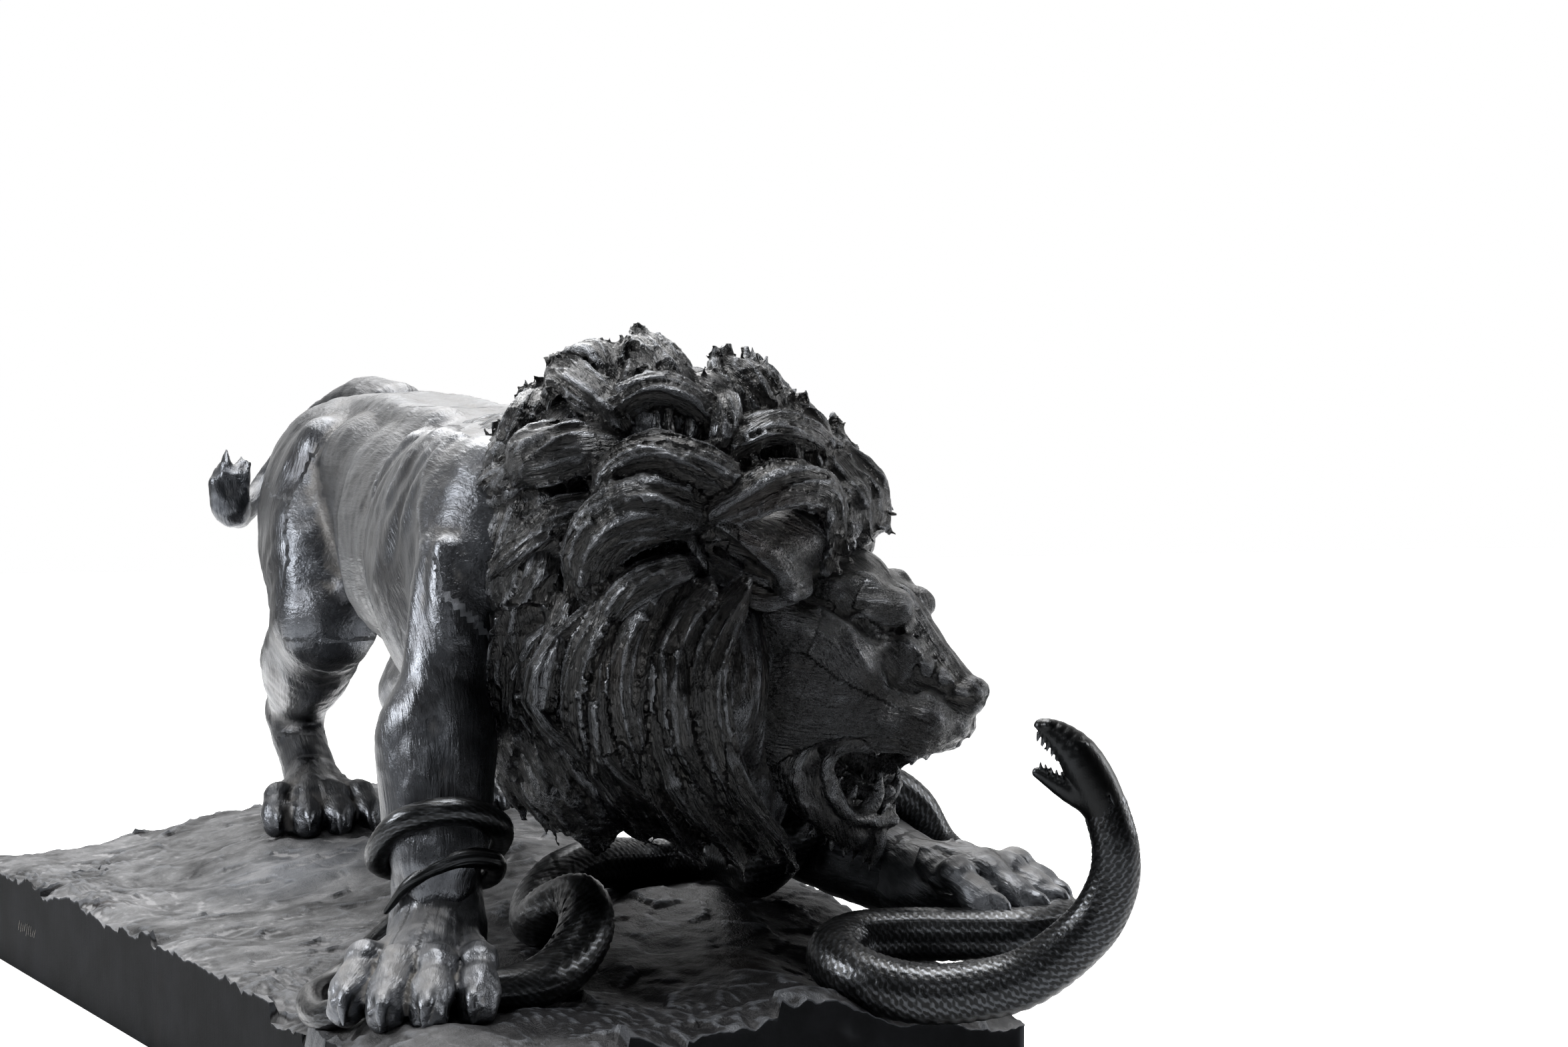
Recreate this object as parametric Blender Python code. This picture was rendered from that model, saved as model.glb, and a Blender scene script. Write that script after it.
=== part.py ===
"""A cast bronze group: a lion with open jaws holds a snake down with both forepaws, on a rocky plinth.

The frame: the origin is the middle of the plinth's underside, +X is where the lion walks, +Y is its
left side and +Z is up. All sizes are metres unless a name says otherwise.

The lion is built up like a clay model. Limbs, muscles and locks of hair are simple solids whose
distance to a point is known. They are blended into one distance field on a grid, and the zero
surface of that field is taken off as a closed mesh and thinned. The snake is a swept tube, and the
plinth a block whose top is a height function. The three castings are fitted to each other with a
small gap, so that they touch the eye but share no space.
"""

import math

import bpy
import numpy as np

# The plinth
BASE_LENGTH = 1.0
BASE_WIDTH = 0.41
BASE_CELLS_LONG = 38
BASE_CELLS_WIDE = 16
CORNER_ROUND = 0.008

# The gap left between two castings
FIT_GAP = 0.0006

# The grid that the lion is modelled on, and how far its mesh is thinned
CLAY_STEP = 0.0048
LION_TRIANGLES = 4300

# The line of the lion's body on the plinth
HIPS = np.array([-0.27, 0.09, 0.0])
BODY_TURN = math.radians(-10.6)

# The head, by the middle of its skull and the way that it points
SKULL = np.array([0.3216, 0.117, 0.3314])
HEAD_FORWARD = np.array([0.675, 0.611, -0.413])

# The mane's shell, an upright egg round the neck and the back of the skull
MANE_MIDDLE = np.array([0.272, 0.068, 0.333])
MANE_REACH = np.array([0.128, 0.128, 0.166])

# The snake
TUBE_SIDES = 9
TUBE_STEP = 0.0175
WRIST = np.array([0.318, -0.1125, 0.1155])
ELBOW = np.array([0.286, -0.101, 0.235])
WRIST_ROUND = 0.030

BRONZE = (0.035, 0.037, 0.040, 1.0)


def unit(vector):
    """The vector at length one."""
    vector = np.asarray(vector, float)
    return vector / np.linalg.norm(vector)


def ease(low, high, value):
    """A smooth step from 0 at low to 1 at high."""
    t = np.clip((value - low) / (high - low), 0.0, 1.0)
    return t * t * (3.0 - 2.0 * t)


def bump(x, y, at, spread):
    """A round hill of height one."""
    return np.exp(-((x - at[0]) ** 2 + (y - at[1]) ** 2) / (2.0 * spread**2))


def ground(x, y):
    """The height of the plinth's top, which climbs from the near side and the front to the far side."""
    height = 0.076 + 0.040 * ease(-0.19, 0.13, y) * ease(0.47, 0.20, x)
    height = height + 0.012 * bump(x, y, (-0.23, -0.01), 0.07)
    height = height + 0.008 * bump(x, y, (-0.36, 0.12), 0.09)
    height = height + 0.012 * ease(0.30, 0.44, x) * ease(-0.02, 0.06, y) * ease(0.12, 0.07, y)
    height = height + 0.007 * bump(x, y, (0.38, -0.14), 0.05)
    height = height - 0.012 * ease(0.24, 0.34, x) * ease(-0.17, -0.205, y)
    height = height - 0.008 * ease(0.42, 0.50, x) * ease(0.08, 0.14, y)
    ripple = np.sin(31.0 * x + 9.0 * y) * np.sin(23.0 * y - 12.0 * x + 1.3)
    ripple = ripple + 0.6 * np.sin(67.0 * x - 41.0 * y) * np.sin(53.0 * y + 29.0 * x)
    return height + 0.0022 * ripple


def body_point(forward, side, height):
    """A place by its distance ahead of the hips along the body, its distance to the left, and its height."""
    along = np.array([math.cos(BODY_TURN), math.sin(BODY_TURN), 0.0])
    left = np.array([-math.sin(BODY_TURN), math.cos(BODY_TURN), 0.0])
    return HIPS + along * forward + left * side + np.array([0.0, 0.0, height])


def head_axes():
    """The head's own forward, left and up."""
    forward = unit(HEAD_FORWARD)
    left = unit(np.cross([0.0, 0.0, 1.0], forward))
    return forward, left, np.cross(forward, left)


def head_point(forward, side, up):
    """A place in the head by its distances from the skull's middle, in millimetres."""
    axes = head_axes()
    return SKULL + 0.001 * (axes[0] * forward + axes[1] * side + axes[2] * up)


def mane_point(azimuth, elevation, lift=0.0):
    """A place on the mane's shell by its two angles in degrees, raised off it by lift."""
    turn, rise = math.radians(azimuth), math.radians(elevation)
    way = np.array([math.cos(rise) * math.cos(turn), math.cos(rise) * math.sin(turn), math.sin(rise)])
    return MANE_MIDDLE + way * (MANE_REACH + lift)


def spline(points, pieces):
    """A smooth curve through the points, with so many pieces between one and the next."""
    points = np.asarray(points, float)
    ends = np.vstack([2 * points[0] - points[1], points, 2 * points[-1] - points[-2]])
    out = []
    for before, start, stop, after in zip(ends, ends[1:], ends[2:], ends[3:]):
        for t in np.arange(pieces) / pieces:
            out.append(
                0.5
                * (
                    2 * start
                    + (stop - before) * t
                    + (2 * before - 5 * start + 4 * stop - after) * t**2
                    + (3 * start - before - 3 * stop + after) * t**3
                )
            )
    out.append(points[-1])
    return np.array(out)


class Egg:
    """An ellipsoid with its three radii along three axes at right angles."""

    def __init__(self, middle, radii, axes=None):
        self.middle = np.asarray(middle, float)
        self.radii = np.asarray(radii, float)
        self.axes = np.eye(3) if axes is None else np.asarray(axes, float)

    def box(self):
        reach = np.sqrt(((self.axes * self.radii[:, None]) ** 2).sum(axis=0))
        return self.middle - reach, self.middle + reach

    def distance(self, points):
        local = (points - self.middle.astype(np.float32)) @ self.axes.T.astype(np.float32)
        scaled = np.linalg.norm(local / self.radii.astype(np.float32), axis=-1)
        steep = np.linalg.norm(local / (self.radii**2).astype(np.float32), axis=-1)
        return scaled * (scaled - 1.0) / np.maximum(steep, 1e-6)


class Limb:
    """A round bar along a curve, thicker or thinner from point to point, and pressed flat along a normal if asked."""

    def __init__(self, rows, pieces=3, normal=None, flatness=1.0):
        rows = spline([np.r_[np.asarray(place, float), radius] for place, radius in rows], pieces)
        self.places = rows[:, :3]
        self.radii = np.maximum(rows[:, 3], 0.0006)
        self.normal = None if normal is None else unit(normal)
        self.flatness = flatness

    def box(self):
        reach = self.radii[:, None]
        return (self.places - reach).min(axis=0), (self.places + reach).max(axis=0)

    def distance(self, points):
        nearest = None
        for start, stop, thick, thin in zip(self.places, self.places[1:], self.radii, self.radii[1:]):
            way = stop - start
            offset = points - start.astype(np.float32)
            share = np.clip(offset @ (way / max(way @ way, 1e-12)).astype(np.float32), 0.0, 1.0)
            offset = offset - share[..., None] * way.astype(np.float32)
            square = (offset**2).sum(axis=-1)
            if self.normal is not None:
                across = offset @ self.normal.astype(np.float32)
                square = square + across**2 * (self.flatness**2 - 1.0)
            gap = np.sqrt(square) - (thick + (thin - thick) * share)
            nearest = gap if nearest is None else np.minimum(nearest, gap)
        return nearest


class Clay:
    """A block of space on a grid that holds the distance to the model's surface, less than zero inside it."""

    def __init__(self, low, high, step):
        self.low = np.asarray(low, float)
        self.step = step
        self.count = np.ceil((np.asarray(high) - self.low) / step).astype(int) + 1
        self.field = np.full(self.count, 0.2, np.float32)

    def _window(self, form, margin):
        low, high = form.box()
        first = np.maximum(((low - margin - self.low) / self.step).astype(int), 0)
        last = np.minimum(((high + margin - self.low) / self.step).astype(int) + 2, self.count)
        cells = tuple(slice(a, b) for a, b in zip(first, last))
        lines = [self.low[i] + self.step * np.arange(first[i], last[i]) for i in range(3)]
        points = np.stack(np.meshgrid(*lines, indexing="ij"), axis=-1).astype(np.float32)
        return cells, points

    def add(self, form, blend):
        """Joins a form on, with a fillet about as wide as blend."""
        cells, points = self._window(form, blend + 2 * self.step)
        new = form.distance(points)
        old = self.field[cells]
        overlap = np.maximum(blend - np.abs(old - new), 0.0)
        self.field[cells] = np.minimum(old, new) - overlap**2 / (4.0 * blend)

    def cut(self, form, blend):
        """Takes a form out, and rounds the edge."""
        cells, points = self._window(form, blend + 2 * self.step)
        new = -form.distance(points)
        old = self.field[cells]
        overlap = np.maximum(blend - np.abs(old - new), 0.0)
        self.field[cells] = np.maximum(old, new) + overlap**2 / (4.0 * blend)

    def settle(self):
        """Fills the cells in which the surface would touch itself, so that the mesh has two faces at every edge."""
        corners = [(i, j, k) for i in (0, 1) for j in (0, 1) for k in (0, 1)]

        def in_one(chosen):
            if not chosen:
                return True
            reached = {chosen[0]}
            for _ in range(8):
                reached |= {c for c in chosen for r in reached if sum(abs(a - b) for a, b in zip(c, r)) == 1}
            return len(reached) == len(chosen)

        split = np.zeros(256, bool)
        for code in range(256):
            inside = [c for n, c in enumerate(corners) if code >> n & 1]
            outside = [c for n, c in enumerate(corners) if not code >> n & 1]
            split[code] = not (in_one(inside) and in_one(outside))
        nx, ny, nz = self.count - 1
        for _ in range(30):
            code = np.zeros((nx, ny, nz), np.uint8)
            for n, (i, j, k) in enumerate(corners):
                code |= (self.field[i : nx + i, j : ny + j, k : nz + k] < 0).astype(np.uint8) << n
            cells = np.argwhere(split[code])
            if not len(cells):
                return
            for corner in corners:
                spot = tuple((cells + corner).T)
                self.field[spot] = np.minimum(self.field[spot], -0.05 * self.step)

    def surface(self):
        """The zero surface as points and four-sided faces: one point in each grid cell that it passes."""
        self.settle()
        cell_count = self.count - 1
        total = np.zeros((int(np.prod(cell_count)), 3))
        hits = np.zeros(len(total))
        rings = []
        for axis in range(3):
            first = np.take(self.field, range(self.count[axis] - 1), axis=axis)
            second = np.take(self.field, range(1, self.count[axis]), axis=axis)
            index = np.argwhere((first < 0) != (second < 0))
            start = first[tuple(index.T)]
            stop = second[tuple(index.T)]
            place = index.astype(float)
            place[:, axis] += start / (start - stop)
            ring = []
            for back_across, back_other in ((0, 0), (1, 0), (1, 1), (0, 1)):
                cell = index.copy()
                cell[:, (axis + 1) % 3] -= back_across
                cell[:, (axis + 2) % 3] -= back_other
                number = (cell[:, 0] * cell_count[1] + cell[:, 1]) * cell_count[2] + cell[:, 2]
                hits += np.bincount(number, minlength=len(hits))
                for k in range(3):
                    total[:, k] += np.bincount(number, place[:, k], minlength=len(hits))
                ring.append(number)
            ring = np.stack(ring, axis=1)
            rings.append(np.where((start < 0)[:, None], ring, ring[:, ::-1]))
        used = np.flatnonzero(hits)
        number = np.zeros(len(hits), int)
        number[used] = np.arange(len(used))
        points = self.low + self.step * total[used] / hits[used, None]
        return largest_shell(points, number[np.vstack(rings)])


def largest_shell(points, faces):
    """The faces that hang together in the largest shell, without closed hollows and loose crumbs."""
    label = np.arange(len(points))
    first, second = faces.ravel(), np.roll(faces, -1, axis=1).ravel()
    while True:
        low = np.minimum(label[first], label[second])
        new = label.copy()
        np.minimum.at(new, first, low)
        np.minimum.at(new, second, low)
        new = new[new]
        if (new == label).all():
            break
        label = new
    kept = label == np.bincount(label).argmax()
    number = np.cumsum(kept) - 1
    return points[kept], number[faces[kept[faces[:, 0]]]]


def torso(clay):
    """The trunk from rump to chest, with the haunch, the rib cage, the tucked belly and the blades of the shoulders."""
    spine = (
        (-0.045, 0.392, 0.066),
        (0.06, 0.388, 0.078),
        (0.18, 0.376, 0.078),
        (0.30, 0.358, 0.088),
        (0.43, 0.335, 0.100),
    )
    clay.add(Limb([(body_point(f, 0.0, z), r) for f, z, r in spine], pieces=3), 0.02)
    for side in (-1, 1):
        clay.add(Egg(body_point(-0.025, side * 0.045, 0.395), (0.080, 0.046, 0.066)), 0.025)
        clay.add(Egg(body_point(0.26, side * 0.036, 0.350), (0.12, 0.050, 0.078)), 0.030)
        clay.add(Egg(body_point(0.40, side * 0.058, 0.372), (0.060, 0.036, 0.074)), 0.016)
        clay.add(Egg(body_point(0.13, side * 0.046, 0.408), (0.085, 0.030, 0.034)), 0.016)
        clay.add(Egg(body_point(0.345, side * 0.062, 0.325), (0.075, 0.030, 0.050)), 0.016)
    belly = ((0.10, 0.348, 0.050), (0.24, 0.335, 0.056), (0.36, 0.315, 0.064), (0.47, 0.290, 0.076))
    clay.add(Limb([(body_point(f, 0.0, z), r) for f, z, r in belly], pieces=3), 0.04)
    clay.add(Egg(body_point(0.50, 0.01, 0.30), (0.085, 0.078, 0.092)), 0.04)


# A toe from root to tip, in shares of the paw's reach, spread and height, and of the toe's thickness
TOE_JOINTS = ((0.50, 0.44, 0.72, 0.95), (0.72, 0.56, 0.62, 1.08), (0.90, 0.60, 0.42, 1.05), (1.0, 0.62, 0.22, 0.90))


def paw(clay, wrist, heading, floor, spread, tall, reach):
    """A foot ahead of the wrist: four knuckled toes with hooked claws, and the pad under them."""
    ahead = unit([math.cos(heading), math.sin(heading), 0.0])
    left = np.array([-ahead[1], ahead[0], 0.0])
    instep = wrist + ahead * 0.5 * reach
    instep[2] = floor + 0.50 * tall
    clay.add(Limb([(wrist, 0.58 * spread), (instep, 0.62 * spread)]), 0.012)
    size = 0.29 * spread
    for place in (-1.5, -0.5, 0.5, 1.5):
        inner = 1.0 - 0.08 * place**2
        rows = []
        for along, out, high, thick in TOE_JOINTS:
            spot = wrist + left * place * out * spread + ahead * along * reach * inner
            spot[2] = floor + high * tall
            rows.append((spot, thick * size))
        clay.add(Limb(rows, pieces=2), 0.004)
        tip = rows[-1][0]
        claw = tip + ahead * size * 0.70 + [0, 0, 0.40 * size]
        bend = tip + ahead * size * 1.15 + [0, 0, 0.05 * size]
        point = tip + ahead * size * 1.20 - [0, 0, 0.75 * size]
        clay.add(Limb([(claw, 0.36 * size), (bend, 0.28 * size), (point, 0.10 * size)], pieces=2), 0.002)


def hind_leg(clay, side, hock, foot, heading):
    """A hind leg from hip to foot, with the thigh, the hamstring, the shank, the heel's cord and the pastern."""
    hip = body_point(-0.02, side * 0.052, 0.380)
    stifle = body_point(0.075, side * 0.076, 0.285)
    sit_bone = body_point(-0.100, side * 0.046, 0.385)
    clay.add(Limb([(hip, 0.060), (0.5 * (hip + stifle) + [0, 0, 0.005], 0.056), (stifle, 0.038)]), 0.022)
    mid_back = 0.62 * sit_bone + 0.38 * hock
    clay.add(Limb([(sit_bone, 0.044), (mid_back, 0.042), (0.5 * (mid_back + hock) + [0.015, 0, 0], 0.026)]), 0.020)
    shank = 0.55 * stifle + 0.45 * hock
    clay.add(Limb([(stifle, 0.037), (shank, 0.031), (hock + [0.012, 0, 0.004], 0.022)]), 0.016)
    clay.add(Limb([(0.5 * (mid_back + hock), 0.017), (hock + [-0.012, 0, 0.008], 0.015)]), 0.010)
    pastern = 0.5 * (hock + foot)
    clay.add(Limb([(hock - [0.006, 0, 0], 0.020), (pastern, 0.020), (foot, 0.022)]), 0.010)
    floor = ground(*(foot[:2] + 0.03 * np.array([math.cos(heading), math.sin(heading)])))
    paw(clay, foot, heading, float(floor) - 0.004, 0.045, 0.032, 0.070)


def forelegs(clay):
    """The near foreleg stands, and the far one reaches forward with its forearm close to the ground."""
    shoulder = body_point(0.475, -0.066, 0.325)
    arm = [(shoulder, 0.050), (np.array([0.262, -0.090, 0.285]), 0.046), (ELBOW + [0, 0, 0.012], 0.038)]
    clay.add(Limb(arm), 0.018)
    clay.add(Limb([(body_point(0.41, -0.070, 0.36), 0.040), (ELBOW + [-0.020, 0.0, 0.035], 0.031)]), 0.014)
    forearm = 0.5 * (ELBOW + WRIST)
    rows = [(ELBOW, 0.038), (forearm + [0, 0, 0.012], 0.035), (WRIST + [0, 0, 0.02], 0.028), (WRIST, 0.029)]
    clay.add(Limb(rows), 0.014)
    clay.add(Limb([(ELBOW + [-0.026, 0.0, 0.0], 0.016), (ELBOW + [-0.030, -0.020, -0.045], 0.004)]), 0.01)
    far_elbow = np.array([0.225, 0.172, 0.168])
    far_wrist = np.array([0.378, 0.203, 0.134])
    rows = [(body_point(0.45, 0.066, 0.33), 0.055), (np.array([0.235, 0.150, 0.25]), 0.046), (far_elbow, 0.038)]
    clay.add(Limb(rows), 0.02)
    clay.add(Limb([(far_elbow, 0.037), (0.5 * (far_elbow + far_wrist), 0.034), (far_wrist, 0.027)]), 0.014)
    paw(clay, WRIST, math.radians(-31.0), 0.078, 0.048, 0.036, 0.112)
    paw(clay, far_wrist, math.radians(24.0), 0.118, 0.044, 0.034, 0.092)
    clay.add(Limb([(WRIST + [0.034, 0.026, -0.006], 0.012), (WRIST + [0.062, 0.020, -0.016], 0.009)]), 0.004)


def tail(clay):
    """The tail leaves the rump level, drops on the near side and ends in a curled tuft."""
    route = (
        ((-0.330, 0.105, 0.446), 0.030),
        ((-0.405, 0.103, 0.460), 0.022),
        ((-0.462, 0.080, 0.440), 0.015),
        ((-0.474, 0.054, 0.408), 0.012),
        ((-0.462, 0.026, 0.378), 0.011),
        ((-0.440, 0.004, 0.364), 0.012),
        ((-0.424, -0.006, 0.372), 0.014),
        ((-0.420, -0.008, 0.388), 0.014),
        ((-0.426, -0.004, 0.402), 0.006),
    )
    clay.add(Limb(route, pieces=3), 0.012)


def head(clay):
    """The snarling head: skull, brows, muzzle, cheeks, the dropped jaw, the open mouth with its fangs, and the ears."""
    axes = head_axes()

    def egg(place, radii, blend):
        clay.add(Egg(head_point(*place), 0.001 * np.array(radii), axes), blend)

    def bar(rows, blend, pieces=3):
        clay.add(Limb([(head_point(*place), 0.001 * radius) for place, radius in rows], pieces), blend)

    clay.add(Limb([(body_point(0.42, 0.0, 0.36), 0.09), (SKULL - [0.05, 0.05, 0.0], 0.080), (SKULL, 0.066)]), 0.03)
    egg((8, 0, 0), (60, 56, 48), 0.02)
    egg((54, 0, 10), (38, 40, 35), 0.02)
    bar((((92, 0, 8), 25), ((122, 0, -10), 23), ((144, 0, -21), 17)), 0.012)
    bar((((90, 0, 24), 13), ((115, 0, 13), 12), ((138, 0, 2), 11), ((154, 0, -5), 10)), 0.008)
    for side in (-1, 1):
        bar((((90, side * 10, 28), 9), ((88, side * 26, 25), 9.5), ((74, side * 42, 14), 8)), 0.006)
        bar((((92, side * 40, -8), 11), ((62, side * 54, -8), 13), ((35, side * 58, -6), 14)), 0.012)
        egg((68, side * 40, -38), (40, 26, 40), 0.015)
        lip = ((154, 8, -28, 12), (138, 19, -38, 16), (116, 30, -46, 15), (98, 39, -62, 11))
        bar([((f, side * s, u), r) for f, s, u, r in lip], 0.007)
        lip = ((98, 40, -62, 9), (94, 41, -86, 9), (110, 31, -106, 9), (133, 12, -106, 9))
        bar([((f, side * s, u), r) for f, s, u, r in lip], 0.005)
        jaw = ((40, 40, -70, 24), (88, 30, -104, 17), (124, 10, -120, 13))
        bar([((f, side * s, u), r) for f, s, u, r in jaw], 0.012)
        clay.cut(Egg(head_point(98, side * 31, 12), 0.001 * np.array([9, 8, 7]), axes), 0.004)
        egg((92, side * 28, 11), (9, 9, 8), 0.002)
        ear = (((34, side * 58, 22), 17), ((6, side * 74, 32), 21), ((-20, side * 87, 36), 13), ((-34, side * 93, 38), 5))
        rows = [(head_point(*place), 0.001 * radius) for place, radius in ear]
        clay.add(Limb(rows, 2, axes[2] + side * 0.5 * axes[1], 1.9), 0.004)
        inside = (((26, side * 74, 14), 9), ((4, side * 86, 22), 12), ((-16, side * 96, 28), 6))
        clay.cut(Limb([(head_point(*place), 0.001 * radius) for place, radius in inside], 2), 0.003)
    egg((134, 0, -114), (14, 18, 14), 0.008)
    mouth = (((92, 0, -82), 15), ((122, 0, -76), 18), ((160, 0, -72), 22))
    rows = [(head_point(*place), 0.001 * radius) for place, radius in mouth]
    clay.cut(Limb(rows, 3, axes[1], 0.85), 0.005)
    bar((((86, 0, -98), 12), ((112, 0, -94), 8), ((128, 0, -90), 5)), 0.004)
    for side in (-1, 1):
        bar((((148, side * 15, -50), 5.5), ((150, side * 15, -62), 1.5)), 0.002, 1)
        bar((((131, side * 11, -98), 5.5), ((138, side * 12, -76), 1.5)), 0.002, 1)


def lock(clay, start, stop, width, bulge, tip_lift, curl):
    """One thick lock of the mane between two places on its shell, each (azimuth, elevation, lift in millimetres)."""
    rows = []
    for t, share in ((0.0, 0.55), (0.3, 0.95), (0.6, 1.0), (0.85, 0.62), (1.0, 0.14)):
        azimuth, elevation, lift = start + (stop - start) * t
        azimuth += curl * math.sin(math.pi * t)
        lift = 0.001 * lift + bulge * math.sin(math.pi * t) + tip_lift * t * t
        rows.append((mane_point(azimuth, elevation, lift - 0.36 * width * share), 0.5 * width * share))
    middle = mane_point(*(0.5 * (start + stop))[:2])
    clay.add(Limb(rows, 2, (middle - MANE_MIDDLE) / MANE_REACH**2, 1.3), 0.0025)


def fan(clay, random, roots, tips, count, overlap=1.6, bulge=0.008, tip_lift=0.008, curl=6.0):
    """Locks side by side, from a line between two roots to a line between two tips, no two quite alike."""
    roots, tips = np.asarray(roots, float), np.asarray(tips, float)
    edges = [mane_point(*(0.5 * (roots[k] + tips[k]))[:2]) for k in (0, 1)]
    width = overlap * np.linalg.norm(edges[1] - edges[0]) / max(count - 1, 1)
    for k in range(count):
        t = k / max(count - 1, 1)
        stagger = np.array([random.uniform(-3, 3), random.uniform(-3, 3), 5.0 * (k % 2) - 2.5])
        root = roots[0] * (1 - t) + roots[1] * t
        tip = tips[0] * (1 - t) + tips[1] * t
        tip = tip + (tip - root) * [0.10, 0.10, 0] * random.uniform(-1, 1)
        wide = width * random.uniform(0.88, 1.15)
        lock(clay, root + stagger, tip + stagger, wide, bulge, tip_lift, curl * random.uniform(0.6, 1.4))


# The tips of the crest's flames: azimuth, elevation, and how far they stand off in millimetres
CREST = (
    (56, 34, 14),
    (40, 46, 2),
    (20, 44, 3),
    (62, 52, 0),
    (12, 60, 4),
    (-16, 54, -2),
    (-50, 76, 6),
    (-70, 60, 0),
    (-96, 56, 2),
    (-112, 46, 2),
    (90, 72, -2),
    (150, 70, -2),
    (-150, 66, -4),
)


def mane(clay):
    """The mane: a core round the neck, the ruff under the cheek, swept masses behind the ear, and the crest."""
    random = np.random.default_rng(11)
    clay.add(Egg(MANE_MIDDLE, MANE_REACH - 0.024), 0.03)
    neck = [(body_point(0.37, 0.0, 0.385), 0.058), (MANE_MIDDLE + [-0.02, -0.02, 0.03], 0.095)]
    clay.add(Limb(neck), 0.02)
    clay.add(Limb([(np.array([0.262, -0.012, 0.30]), 0.066), (np.array([0.285, 0.0, 0.215]), 0.042)]), 0.03)
    throat = ((10, -60, 0.052), (45, -108, 0.034), (68, -146, 0.016))
    clay.add(Limb([(head_point(f, -30, u), r) for f, u, r in throat]), 0.02)
    clay.add(Limb([(head_point(10, 30, -60), 0.050), (head_point(26, 36, -84), 0.034)]), 0.03)
    clay.add(Egg(mane_point(-18, -28, -0.050), (0.062, 0.062, 0.085)), 0.012)
    # Locks low on the chest, behind and under the ruff
    fan(clay, random, ((-50, -30, 0), (-112, -26, 8)), ((-34, -72, 0), (-108, -56, 26)), 6)
    fan(clay, random, ((-60, -6, 0), (-98, -2, 2)), ((-64, -42, 4), (-112, -40, 20)), 4)
    # The ruff, whose locks hang from behind the cheek and close to a point under the jaw
    fan(clay, random, ((2, 0, 0), (-48, 4, 2)), ((44, -68, 46), (-44, -58, 8)), 6, bulge=0.016, tip_lift=0.002, curl=-16.0)
    # Columns on the near shoulder, down to ragged ends over the chest
    fan(clay, random, ((-62, 18, 0), (-96, 24, 2)), ((-74, -14, 4), (-104, -12, 6)), 4)
    fan(clay, random, ((-58, 38, 0), (-88, 48, 0)), ((-80, 16, 8), (-116, 20, 4)), 4)
    # Three masses that sweep back from the ear
    fan(clay, random, ((-12, 4, 4), (-14, 18, 4)), ((-58, -2, 6), (-55, 15, 8)), 4, bulge=0.012)
    fan(clay, random, ((-6, 20, 2), (-8, 33, 0)), ((-56, 18, 8), (-56, 32, 8)), 4, bulge=0.012)
    fan(clay, random, ((4, 34, 0), (-10, 46, 0)), ((-56, 36, 2), (-60, 50, 2)), 4)
    # Locks swept back over the ear from the forehead, and the tuft that hangs over it
    fan(clay, random, ((36, 20, 0), (24, 36, 0)), ((-8, 12, 6), (-4, 30, 2)), 5, bulge=0.014)
    fan(clay, random, ((32, 26, 2), (48, 30, 4)), ((24, 10, 6), (62, 12, 22)), 5, curl=3.0)
    # The far side, in the same rows
    for azimuth in (76, 128, 180):
        fan(clay, random, ((azimuth, 50, 0), (azimuth + 36, 50, 0)), ((azimuth + 10, 20, 6), (azimuth + 50, 20, 6)), 3)
        fan(clay, random, ((azimuth - 12, 24, 0), (azimuth + 26, 24, 0)), ((azimuth, -12, 6), (azimuth + 40, -12, 6)), 3)
        fan(clay, random, ((azimuth - 6, -4, 0), (azimuth + 30, -4, 0)), ((azimuth, -44, 4), (azimuth + 34, -44, 4)), 3)
    fan(clay, random, ((78, -20, 0), (176, -30, 0)), ((64, -66, 4), (190, -66, 0)), 6)
    # The crest: flames that stand up along the top, from the brow back to the withers
    for azimuth, elevation, tall in CREST:
        root = np.array([azimuth - 6, elevation - 26, -10.0])
        lock(clay, root, np.array([azimuth, elevation, tall]), 0.040, 0.0, 0.006, 4.0)


def model_lion():
    """The whole lion in clay."""
    clay = Clay((-0.515, -0.245, 0.045), (0.545, 0.325, 0.535), CLAY_STEP)
    torso(clay)
    hind_leg(clay, -1, body_point(-0.102, -0.076, 0.196), body_point(-0.004, -0.073, 0.136), math.radians(-14.0))
    hind_leg(clay, 1, body_point(-0.155, 0.030, 0.206), body_point(-0.070, 0.060, 0.142), math.radians(-6.0))
    forelegs(clay)
    tail(clay)
    mane(clay)
    head(clay)
    return clay


def wrist_turns():
    """The tail end of the snake, wound twice round the wrist: angle, height, how far it stands off, and radius."""
    rows = []
    turns = (
        (-55, 0.140, 0.000, 0.0025),
        (0, 0.161, 0.000, 0.0045),
        (60, 0.161, 0.000, 0.0060),
        (130, 0.146, 0.000, 0.0065),
        (200, 0.148, 0.000, 0.0070),
        (270, 0.160, 0.000, 0.0070),
        (330, 0.186, 0.000, 0.0075),
        (380, 0.193, 0.000, 0.0078),
        (430, 0.183, 0.001, 0.0080),
        (485, 0.167, 0.010, 0.0080),
        (520, 0.150, 0.017, 0.0082),
        (560, 0.128, 0.014, 0.0085),
    )
    toward = np.array([0.898, -0.440, 0.0])
    across = np.array([0.440, 0.898, 0.0])
    for angle, height, off, radius in turns:
        share = (height - WRIST[2]) / (ELBOW[2] - WRIST[2])
        middle = WRIST + (ELBOW - WRIST) * share
        out = toward * math.cos(math.radians(angle)) + across * math.sin(math.radians(angle))
        place = middle + out * (WRIST_ROUND + 0.010 * max(share, 0.0) + off)
        place[2] = height
        rows.append((place, radius))
    return rows


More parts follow.
